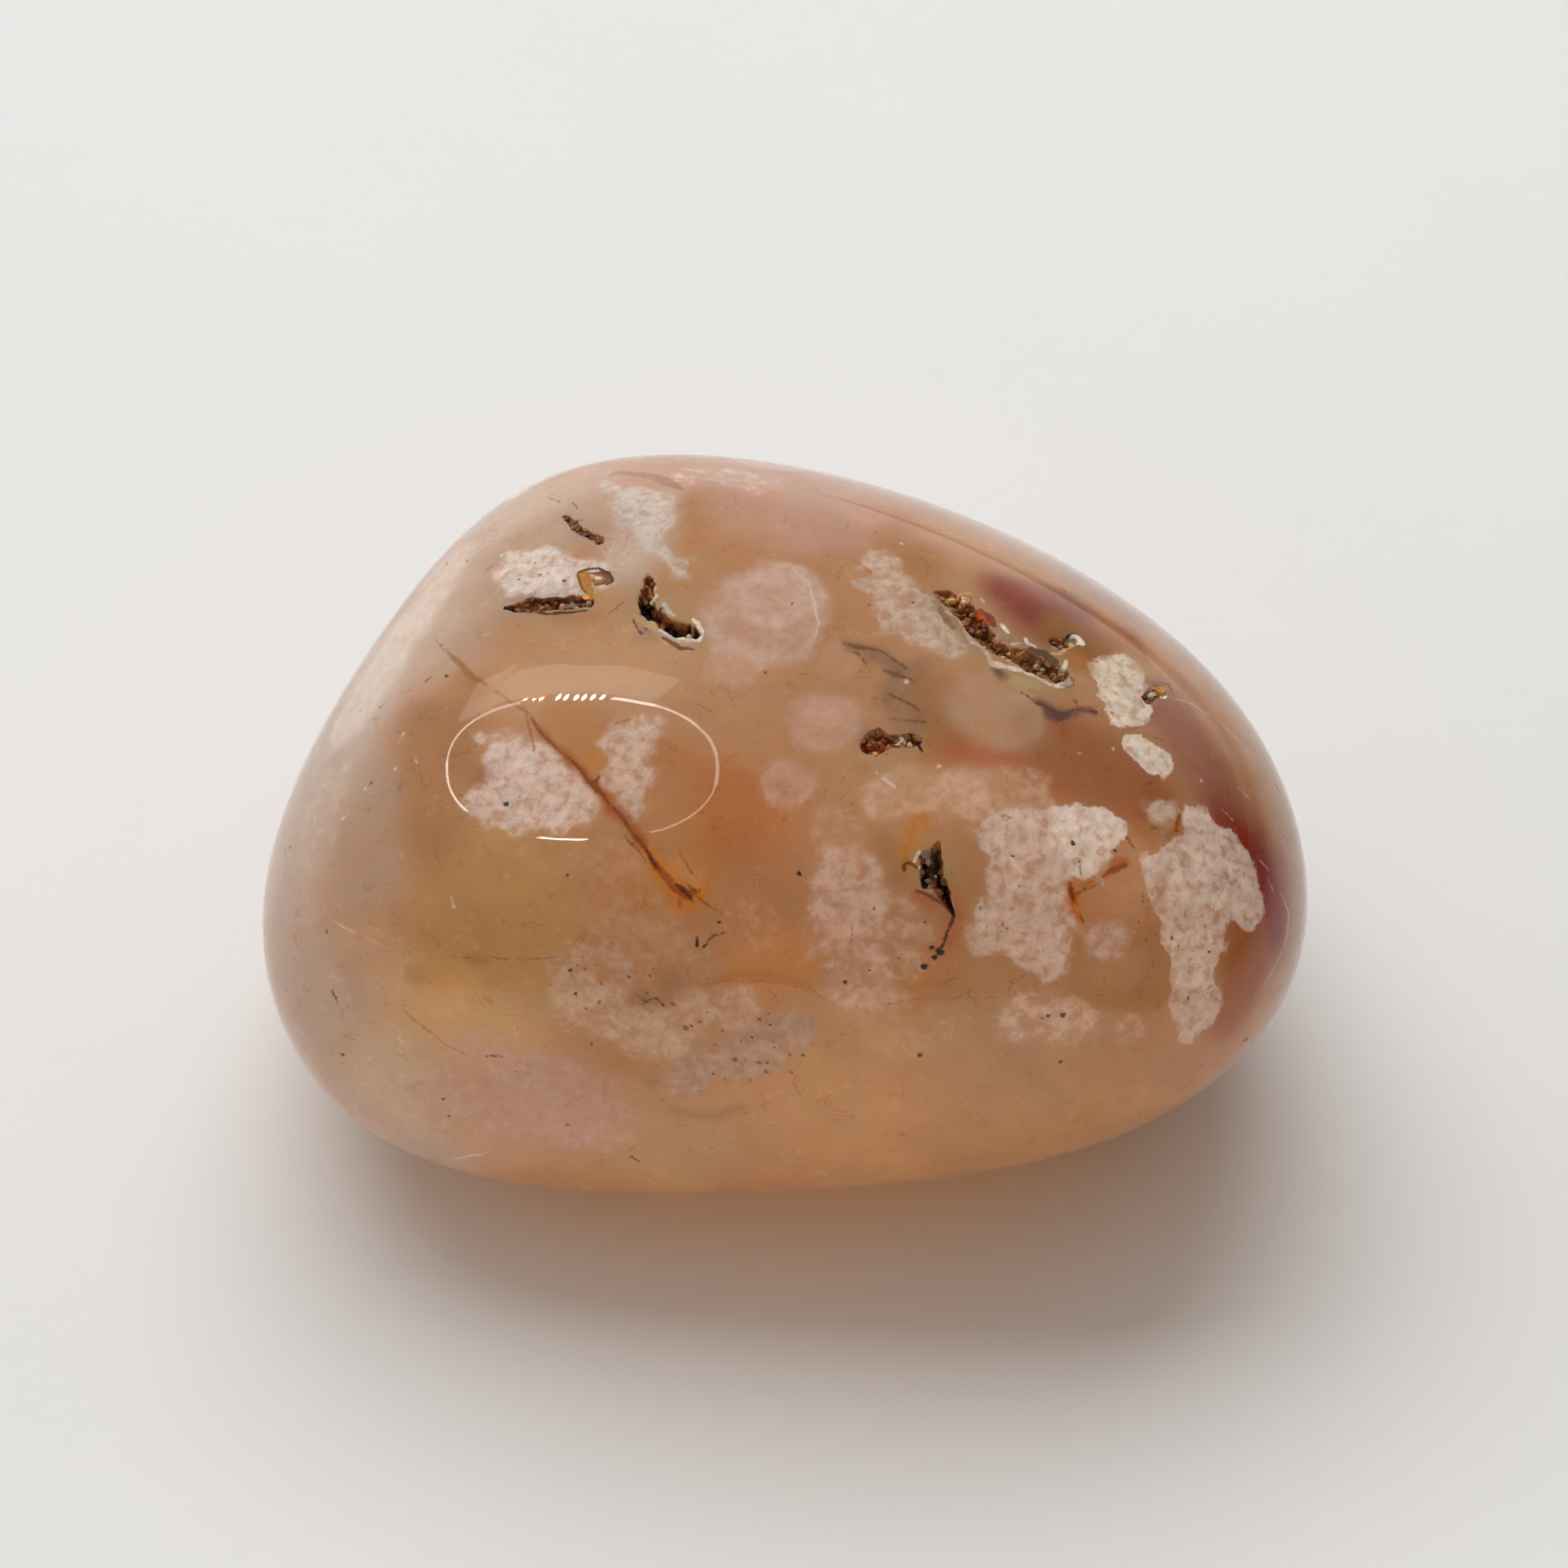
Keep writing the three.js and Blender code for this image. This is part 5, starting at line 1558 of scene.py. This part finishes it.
def plume_look(nodes, place, colour, clumps, flecks, grain):
    """The plumes at the skin: a scalloped, crumbly edge, crisp on some and faded on others."""
    florets = nodes.cells(nodes.swirled(place, 0.7, 0.3), 0.95)
    edge = nodes.stored("plume_edge")["Fac"]
    for texture, low, high, reach in (
        (florets, 0.05, 0.7, 0.18), (clumps, 0.25, 0.75, 0.2),
        (flecks, 0.25, 0.75, 0.09), (grain, 0.25, 0.75, 0.03),
    ):
        edge = nodes.math("ADD", edge, nodes.ramp_line(texture, low, high, -reach, reach))
    crisp = nodes.ramp(edge, 0.05, -0.08)
    faded = nodes.ramp(nodes.math("ADD", edge, nodes.ramp_line(flecks, *NOISE_RANGE, 0.25, -0.25)), 0.3, -0.4)
    which = nodes.stored("plume_faded")["Fac"]
    plume = nodes.stored("plume")
    cover = nodes.math("MULTIPLY", nodes.between(crisp, faded, which), plume["Alpha"])
    cover = nodes.math("MULTIPLY", cover, nodes.ramp(flecks, 0.3, 0.5, 0.75, 1.0))
    return nodes.mix(cover, colour, crumbly(nodes, plume["Color"], flecks, clumps, grain, 1.0))


def speckle_look(nodes, place, colour):
    """Tiny dark specks scattered where the stone is dense with them."""
    specks = nodes.cells(nodes.swirled(place, 0.5, 0.1), 0.42)
    varied = nodes.ramp(nodes.noise(place, 0.7), 0.4, 0.65, 0.06, 0.3)
    size = nodes.math("MULTIPLY", nodes.stored("speckle")["Fac"], varied)
    amount = nodes.ramp(nodes.math("SUBTRACT", specks, size), 0.03, -0.06, 0.0, 0.75)
    return nodes.mix(amount, colour, (*linear(SPECKLE_COLOUR), 1))


def hollow_look(nodes, place, colour, grain):
    """The insides of the hollows, where every small crystal face has its own shade."""
    shades = nodes.facets(nodes.swirled(place, 0.25, 0.04), 0.15)
    hollow = nodes.stored("hollow")
    depth = nodes.ramp(nodes.stored("sunken")["Fac"], 0.3, 1.0, 0.15, 0.6)
    uneven = nodes.math("SUBTRACT", shades, 0.5)
    shade = nodes.math("MULTIPLY_ADD", uneven, nodes.math("MULTIPLY", depth, 2.0), 1.0)
    inner = nodes.tinted(hollow["Color"], shade)
    inner = nodes.tinted(inner, nodes.around(grain, 0.25))
    return nodes.mix(nodes.ramp(hollow["Alpha"], 0.25, 0.75), colour, inner)


# The sizes of the textures that the looks share.
MOTTLE = 0.7
GRAIN = 0.1
CLUMPS = 0.85
FLECKS = 0.38


def agate_material():
    """Polished agate: cloudy matrix, soft deep plumes, crisp scalloped plumes, stains, marks and hollows."""
    nodes = Nodes("agate")
    place = nodes.place()
    mottle = nodes.noise(place, MOTTLE, detail=4.0, roughness=0.6, distortion=0.3)
    grain = nodes.noise(place, GRAIN, detail=3.0, roughness=0.65)
    clumps = nodes.noise(place, CLUMPS, detail=4.0, roughness=0.6, distortion=0.4)
    flecks = nodes.noise(nodes.swirled(place, 0.6, 0.12), FLECKS, detail=4.0, roughness=0.55, distortion=0.3)

    colour = matrix_look(nodes, place, grain)
    colour = haze_look(nodes, colour, clumps, flecks, grain)
    colour = plume_look(nodes, place, colour, clumps, flecks, grain)
    colour = speckle_look(nodes, place, colour)

    stain = nodes.stored("stain")
    stain_amount = nodes.math("MULTIPLY", stain["Alpha"], nodes.around(clumps, 0.4))
    colour = nodes.mix(stain_amount, colour, stain["Color"])

    mark_edge = nodes.stored("mark_edge")["Fac"]
    mark_edge = nodes.math("ADD", mark_edge, nodes.ramp_line(grain, *NOISE_RANGE, -0.06, 0.06))
    mark = nodes.stored("mark")
    mark_amount = nodes.math("MULTIPLY", nodes.ramp(mark_edge, 0.035, -0.03), mark["Alpha"])
    colour = nodes.mix(mark_amount, colour, nodes.tinted(mark["Color"], nodes.around(grain, 0.3)))
    colour = hollow_look(nodes, place, colour, grain)
    sunken = nodes.ramp(nodes.stored("sunken")["Fac"], 0.3, 0.8)

    polish = nodes.ramp_line(mottle, *NOISE_RANGE, *POLISH)
    rough_faces = nodes.math("ADD", grain, nodes.math("MULTIPLY", nodes.facets(place, 0.13), 1.5))
    look = {
        "Base Color": colour,
        "Roughness": nodes.math("ADD", polish, nodes.ramp(sunken, 0.0, 1.0, 0.0, HOLLOW_ROUGHNESS)),
        "IOR": QUARTZ_IOR,
        "Subsurface Weight": nodes.ramp(sunken, 0.0, 1.0, 1.0, 0.15),
        "Subsurface Radius": SCATTER_SHARES,
        "Subsurface Scale": SCATTER * MM,
    }
    return nodes.surface(look, bump=(nodes.math("MULTIPLY", rough_faces, sunken), 0.03, 0.7))


def crystal_material():
    """Small glassy quartz faces, stained brown, gold and white."""
    nodes = Nodes("quartz")
    place = nodes.place()
    uneven = nodes.around(nodes.noise(place, 0.05), 0.2)
    return nodes.surface({
        "Base Color": nodes.tinted(nodes.stored("quartz")["Color"], uneven),
        "Roughness": nodes.ramp_line(nodes.noise(place, 0.1), *NOISE_RANGE, 0.15, 0.35),
        "IOR": QUARTZ_IOR,
        "Specular IOR Level": 0.35,
    })


# The floor's colour, as amounts of light.
FLOOR_COLOUR = (0.83, 0.825, 0.815)


def floor_material():
    """Matt off-white board."""
    nodes = Nodes("pale board")
    place = nodes.place()
    x, y, _ = nodes.parts(place)
    tone = nodes.around(nodes.noise(place, 18.0, detail=4.0), 0.012)
    # Painted shade and light: the floor's colour is darker far out on the right and lighter in front.
    tone = nodes.math("MULTIPLY", tone, nodes.ramp(x, *OPEN_FLOOR, 1.0, OPEN_SIDE))
    tone = nodes.math("MULTIPLY", tone, nodes.ramp(y, *NEAR_FLOOR, 1.0, NEAR_LIGHT))
    look = {
        "Base Color": nodes.tinted(FLOOR_COLOUR, tone),
        "Roughness": 0.75,
        "Specular IOR Level": 0.2,
        "Emission Color": (1, 1, 1, 1),
        "Emission Strength": nodes.ramp(y, *SWEEP, 0.0, SWEEP_GLOW),
    }
    return nodes.surface(look, bump=(nodes.noise(place, 0.9, detail=4.0), 0.05, 0.35))


def build_stone():
    hollows = [seen_track(track) for _, track in HOLLOWS.values()]
    marks = list(mark_tracks())
    points, triangles = first_skin()
    fine = [track for track, _, _ in marks]
    fine += [seen_track(track) for strokes in PAINT.values() for _, track in strokes]
    points, triangles = halve_long_edges(points, triangles, wanted_edges(hollows, fine))
    sunk, inside = sink_hollows(points, hollows)
    skin = points - outward_at(points) * sunk[:, None]
    piece = make_mesh("agate_pebble", skin, triangles)
    mesh = piece.data
    haze, flecked = haze_layer(points)
    edge, plume, faded = plume_layer(warped(points, *WAVERING["plumes"]))
    mark_edge, mark = mark_layer(points, marks)
    hollow = hollow_layer(points, inside)
    layers = {
        "matrix": matrix_colours(points) * (1 - RIM_BAND_DEPTH * rim_bands(points))[:, None],
        "haze": haze, "flecked": flecked,
        "plume_edge": edge, "plume_faded": faded, "plume": plume,
        "stain": stain_layer(points), "speckle": speckle_layer(points),
        "mark_edge": mark_edge, "mark": mark,
        "hollow": hollow, "sunken": inside,
    }
    for name, values in layers.items():
        add_values(mesh, name, values)
    mesh.materials.append(agate_material())
    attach(piece, "root")
    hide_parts("stone")
    build_crystals(skin, inside, hollow)
    return piece


def crystal(middle, along, length, chance):
    """A six-sided prism with a pointed end that grows along a direction, as corners and triangles."""
    width = length * chance.uniform(*CRYSTAL_WIDTHS)
    side = unit(np.cross(along, chance.normal(size=3)))
    other = np.cross(along, side)
    turns = 2 * np.pi * np.arange(CRYSTAL_SIDES) / CRYSTAL_SIDES
    ring = (np.cos(turns)[:, None] * side + np.sin(turns)[:, None] * other) * width
    shoulder = length * chance.uniform(*CRYSTAL_SHOULDERS)
    foot = ring - CRYSTAL_FOOT * length * along
    corners = np.concatenate([foot, ring + shoulder * along, [length * along]]) + middle
    low = np.arange(CRYSTAL_SIDES)
    after = (low + 1) % CRYSTAL_SIDES
    high, high_after = low + CRYSTAL_SIDES, after + CRYSTAL_SIDES
    tip = np.full(CRYSTAL_SIDES, 2 * CRYSTAL_SIDES)
    walls = np.concatenate([
        np.stack([low, after, high_after], axis=1),
        np.stack([low, high_after, high], axis=1),
        np.stack([high, high_after, tip], axis=1),
    ])
    floor = np.stack([low[2:], low[1:-1], low[1:-1] * 0], axis=1)
    return corners, np.concatenate([walls, floor])


def build_crystals(points, inside, hollow):
    """Tiny quartz crystals that stand on the floors and rims of the hollows, in the colours found there."""
    chance = np.random.default_rng(19)
    rooted = np.flatnonzero(inside > CRYSTAL_ROOM)
    paleness = hollow[rooted, :3].mean(1)
    weight = 0.25 + paleness / paleness.max()
    chosen = chance.choice(rooted, CRYSTALS, replace=False, p=weight / weight.sum())
    all_corners, all_triangles, all_colours = [], [], []
    count = 0
    for root in chosen:
        outward = outward_at(points[root][None])[0]
        along = unit(outward + CRYSTAL_LEAN * chance.normal(size=3))
        shortest, longest = CRYSTAL_LENGTHS
        length = shortest + (longest - shortest) * chance.uniform() ** 2
        corners, triangles = crystal(points[root], along, length, chance)
        all_corners.append(corners)
        all_triangles.append(triangles + count)
        shade = hollow[root, :3] * chance.uniform(*CRYSTAL_SHADES) * CRYSTAL_TINT
        all_colours.append(np.tile(shade / max(shade.max() / BRIGHTEST_CRYSTAL, 1), (len(corners), 1)))
        count += len(corners)
    corners = held_under_skin(np.concatenate(all_corners))
    piece = make_mesh("vug_crystals", corners, np.concatenate(all_triangles))
    piece.data.polygons.foreach_set("use_smooth", np.zeros(len(piece.data.polygons), bool))
    add_values(piece.data, "quartz", np.concatenate(all_colours))
    piece.data.materials.append(crystal_material())
    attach(piece, "root")


def held_under_skin(corners):
    """The corners, with those that stand out of the polished skin brought back just under it."""
    offsets = corners - HEART
    stretch = gauge(offsets)[:, None]
    return HEART + offsets / np.maximum(stretch * UNDER_SKIN, 1.0)


# The floor's half length, and how far it lies under the stone, so that the two don't touch.
FLOOR_HALF = 1500.0
FLOOR_DROP = 0.02


def build_floor():
    corners = [(x, y, 0) for x, y in ((-1, -1), (1, -1), (1, 1), (-1, 1))]
    mesh = bpy.data.meshes.new("floor")
    mesh.from_pydata((np.array(corners) * FLOOR_HALF * MM).tolist(), [], [(0, 1, 2, 3)])
    floor = bpy.data.objects.new("floor", mesh)
    floor.location.z = -FLOOR_DROP * MM
    bpy.context.scene.collection.objects.link(floor)
    mesh.materials.append(floor_material())
    return floor


def build_camera():
    camera = bpy.data.objects.new("camera", bpy.data.cameras.new("camera"))
    camera.data.lens = LENS
    camera.data.sensor_width = SENSOR
    camera.data.clip_start, camera.data.clip_end = CLIP
    camera.location = EYE * MM
    camera.rotation_euler = (math.radians(90 - SIGHT_RISE), 0, 0)
    bpy.context.scene.collection.objects.link(camera)
    bpy.context.scene.camera = camera


def add_lamp(name, place, energy, size, colour=(1, 1, 1), aim=None, shape="ELLIPSE"):
    """A flat lamp of this size at a place, both in millimetres. It shines down, or towards the aim."""
    data = bpy.data.lights.new(name, "AREA")
    data.energy = energy
    data.color = colour
    data.shape = shape
    data.size = size[0] * MM
    data.size_y = size[1] * MM
    lamp = bpy.data.objects.new(name, data)
    lamp.location = np.asarray(place) * MM
    if aim is not None:
        away = np.asarray(place) - np.asarray(aim)
        level = math.hypot(away[0], away[1])
        lamp.rotation_euler = (math.atan2(level, away[2]), 0, math.atan2(away[1], away[0]) + math.pi / 2)
    bpy.context.scene.collection.objects.link(lamp)
    return lamp


def add_soft_lamp(name, place, energy, size, colour, aim, lights=None, passes=None):
    """A lamp that the skin doesn't mirror. It may light one object alone, and pass through another."""
    lamp = add_lamp(name, place, energy, size, colour, aim)
    lamp.visible_glossy = False
    if lights:
        link_lamp(lamp, "receiver_collection", lights, "INCLUDE")
    if passes:
        link_lamp(lamp, "blocker_collection", passes, "EXCLUDE")


def link_lamp(lamp, which, piece, state):
    """Says that a lamp lights this object alone, or that this object casts none of its shadow."""
    group = bpy.data.collections.new(f"{lamp.name} {which}")
    group.objects.link(piece)
    group.collection_objects[-1].light_linking.link_state = state
    setattr(lamp.light_linking, which, group)


# The lamps are aimed here.
AIM = (0, 0, 8)

# The key light is a broad, soft ellipse behind and above the stone.
KEY_BEARING = 106
KEY_RISE = 57
KEY_DISTANCE = 700
KEY_SIZE = (860, 500)
KEY_ENERGY = 3.75
KEY_COLOUR = (0.92, 0.97, 1.0)

# The part of the key light that comes through the stone: it warms the floor in the stone's shadow, and the
# stone's shaded front.
THROUGH_COLOUR = (1.0, 0.45, 0.1)
THROUGH_ENERGY = 0.4
SPILL_PLACE = (0.5, -7.0, 5.0)
SPILL_AIM = (0.5, -13.0, -4.0)
SPILL_SIZE = (24, 7)
SPILL_COLOUR = (1.0, 0.42, 0.08)
SPILL_ENERGY = 0.0001
GLOW_PLACE = (-20, -420, 60)
GLOW_SIZE = (300, 300)
GLOW_COLOUR = (1.0, 0.78, 0.5)
GLOW_ENERGY = 0.8

# The ring lamp shows in the crown as an oval seen at this place, with these half axes.
RING_MIDDLE = (-7.6, 0.58)
RING_HALVES = (5.1, 2.68)
RING_POWER = 2.3
RING_HEIGHT = 420
RING_COLOUR = (1.0, 0.93, 0.86)

# Only some arcs of it show: from and to (degrees, 0 at the right and 90 at the top), how wide the line looks,
# how bright it is, how far outside the ring it lies, and how far each of the level strips turns that it is
# hung as. The last two arcs are its housing, which glows softly above the line.
RING_ARCS = [
    (-62, -12, 0.06, 5, 0, 7), (-12, 34, 0.12, 5, 0, 7), (34, 60, 0.09, 8, 0, 7), (60, 80, 0.1, 13, 0, 7),
    (114, 140, 0.1, 5, 0, 7), (140, 175, 0.07, 8, 0, 7), (175, 214, 0.08, 12, 0, 7),
    (254, 271, 0.07, 20, 0, 9), (64, 132, 0.5, 1.5, 0.52, 17), (59, 137, 1.1, 1.3, 0.65, 20),
]

# The round bright lamps in its top: how far across each is seen, how big they look and how bright they are.
BRIGHT_ACROSS = [-9.7, -9.36, -9.1, -8.5, -8.21, -7.82, -7.53, -7.2, -6.84]
BRIGHT_SIZE = (0.15, 0.19)
BRIGHT_GLOW = 30
BRIGHT_TINTS = [(1, 0.95, 0.66), (0.82, 1, 0.9), (1, 0.84, 1)]


def lamp_place(across, up):
    """Where a lamp hangs that the skin mirrors at this place."""
    point = seen_at((across, up))[0]
    outward = outward_at(point[None])[0]
    sight = unit(EYE - point)
    mirrored = 2 * (outward @ sight) * outward - sight
    return point + mirrored * (RING_HEIGHT - point[2]) / mirrored[2]


def ring_place(turn, swell=0.0):
    """A place on the ring's line, or this far outside it."""
    across = math.copysign(abs(math.cos(turn)) ** (2 / RING_POWER), math.cos(turn))
    up = math.copysign(abs(math.sin(turn)) ** (2 / RING_POWER), math.sin(turn))
    return RING_MIDDLE[0] + (RING_HALVES[0] + swell) * across, RING_MIDDLE[1] + (RING_HALVES[1] + swell) * up


def hang_strip(name, start, end, width, glow, shape="RECTANGLE", colour=(1, 1, 1)):
    """A lamp that hangs level between two places and shines down, seen only where the skin mirrors it."""
    length = np.linalg.norm(end - start)
    energy = glow * math.pi * length * width * MM * MM
    strip = add_lamp(name, (start + end) / 2, energy, (length, width), colour, shape=shape)
    strip.rotation_euler = (0, 0, math.atan2(end[1] - start[1], end[0] - start[0]))
    strip.visible_diffuse = False


def hang_ring():
    for arc, (first, last, line, glow, swell, step) in enumerate(RING_ARCS):
        turns = np.radians(np.linspace(first, last, round((last - first) / step) + 1))
        for strip, (turn, after) in enumerate(zip(turns, turns[1:])):
            start, end = lamp_place(*ring_place(turn, swell)), lamp_place(*ring_place(after, swell))
            middle = (turn + after) / 2
            outer = lamp_place(*ring_place(middle, swell + line / 2))
            across = outer - lamp_place(*ring_place(middle, swell - line / 2))
            along = unit(end - start)
            width = np.linalg.norm(across - (across @ along) * along)
            hang_strip(f"ring {arc} {strip}", start, end, width, glow, colour=RING_COLOUR)
    up = RING_MIDDLE[1] + RING_HALVES[1]
    wide, tall = BRIGHT_SIZE
    for lamp, across in enumerate(BRIGHT_ACROSS):
        start, end = lamp_place(across - wide / 2, up), lamp_place(across + wide / 2, up)
        width = np.linalg.norm(lamp_place(across, up + tall / 2) - lamp_place(across, up - tall / 2))
        tint = BRIGHT_TINTS[lamp % len(BRIGHT_TINTS)]
        hang_strip(f"bright {lamp}", start, end, width, BRIGHT_GLOW, "ELLIPSE", tint)


def build_lamps(stone, floor):
    key_place = AIM + KEY_DISTANCE * direction(KEY_BEARING, KEY_RISE)
    add_soft_lamp("key", key_place, KEY_ENERGY, KEY_SIZE, KEY_COLOUR, AIM)
    add_soft_lamp(
        "through", key_place, THROUGH_ENERGY, KEY_SIZE, THROUGH_COLOUR, AIM, lights=floor, passes=stone
    )
    add_soft_lamp(
        "spill", SPILL_PLACE, SPILL_ENERGY, SPILL_SIZE, SPILL_COLOUR, SPILL_AIM, lights=floor, passes=stone
    )
    add_soft_lamp("glow", GLOW_PLACE, GLOW_ENERGY, GLOW_SIZE, GLOW_COLOUR, AIM, lights=stone)
    hang_ring()


# How bright the studio is, as it is seen from the stone: the dim side behind the camera, the lit side, the
# white backdrop low behind the stone, and the wall at its left. Each fades in between two values of the
# direction's x, y or z, which run from -1 to 1.
DIM = 0.2
LIT = 0.46
BACKDROP = 0.6
WALL = 0.35

# The right side is open: the studio's light from there is dimmer by this factor, and the floor's colour is
# painted as much darker out there, as painted shade, from one of these distances to the other.
OPEN_SIDE = 0.25
OPEN_FLOOR = (36, 110)

# The floor's colour is painted lighter in front by this factor, as painted light, from one of these distances
# to the other.
NEAR_FLOOR = (-16, -44)
NEAR_LIGHT = 1.12

# Far behind the stone, from one of these distances to the other, the floor rises into the bright backdrop.
SWEEP = (120, 420)
SWEEP_GLOW = 0.25

# The colour of the studio's light.
STUDIO_COLOUR = (1.0, 0.99, 0.975, 1)

# The ring lamp's housing glows softly in this direction: bearing, rise, half width (degrees) and strength.
HOUSING = (126, 57, 9, 0.4)


def build_world():
    """Soft studio light, brighter from above and behind than from the camera's side."""
    world = bpy.data.worlds.new("studio")
    world.use_nodes = True
    nodes = Nodes.around_tree(world.node_tree)
    where = nodes.add("ShaderNodeTexCoord").outputs["Generated"]
    x, y, z = nodes.parts(where)
    toward_light = nodes.math("MULTIPLY_ADD", z, 0.55, y)
    strength = nodes.ramp(toward_light, -0.6, 0.8, DIM, LIT)
    low = nodes.ramp(nodes.math("MULTIPLY_ADD", x, 0.18, z), 0.5, 0.08)
    backdrop = nodes.math("MULTIPLY", low, nodes.ramp(y, 0.35, 0.75, 0.0, BACKDROP))
    wall = nodes.math("MULTIPLY", nodes.ramp(z, 0.75, 0.35), nodes.ramp(x, -0.5, -0.9, 0.0, WALL))
    strength = nodes.math("ADD", strength, nodes.math("ADD", backdrop, wall))
    strength = nodes.math("MULTIPLY", strength, nodes.ramp(x, 0.55, 0.8, 1.0, OPEN_SIDE))
    bearing, rise, half, bright = HOUSING
    toward = nodes.vectors("DOT_PRODUCT", where, tuple(direction(bearing, rise)))["Value"]
    edge, core = math.cos(math.radians(1.6 * half)), math.cos(math.radians(0.3 * half))
    strength = nodes.math("ADD", strength, nodes.ramp(toward, edge, core, 0.0, bright))
    back = nodes.add("ShaderNodeBackground", {"Color": STUDIO_COLOUR, "Strength": strength})
    nodes.add("ShaderNodeOutputWorld", {"Surface": back.outputs[0]})
    bpy.context.scene.world = world


build_camera()
stone = build_stone()
floor = build_floor()
build_lamps(stone, floor)
build_world()
bpy.context.scene.view_settings.view_transform = "Standard"
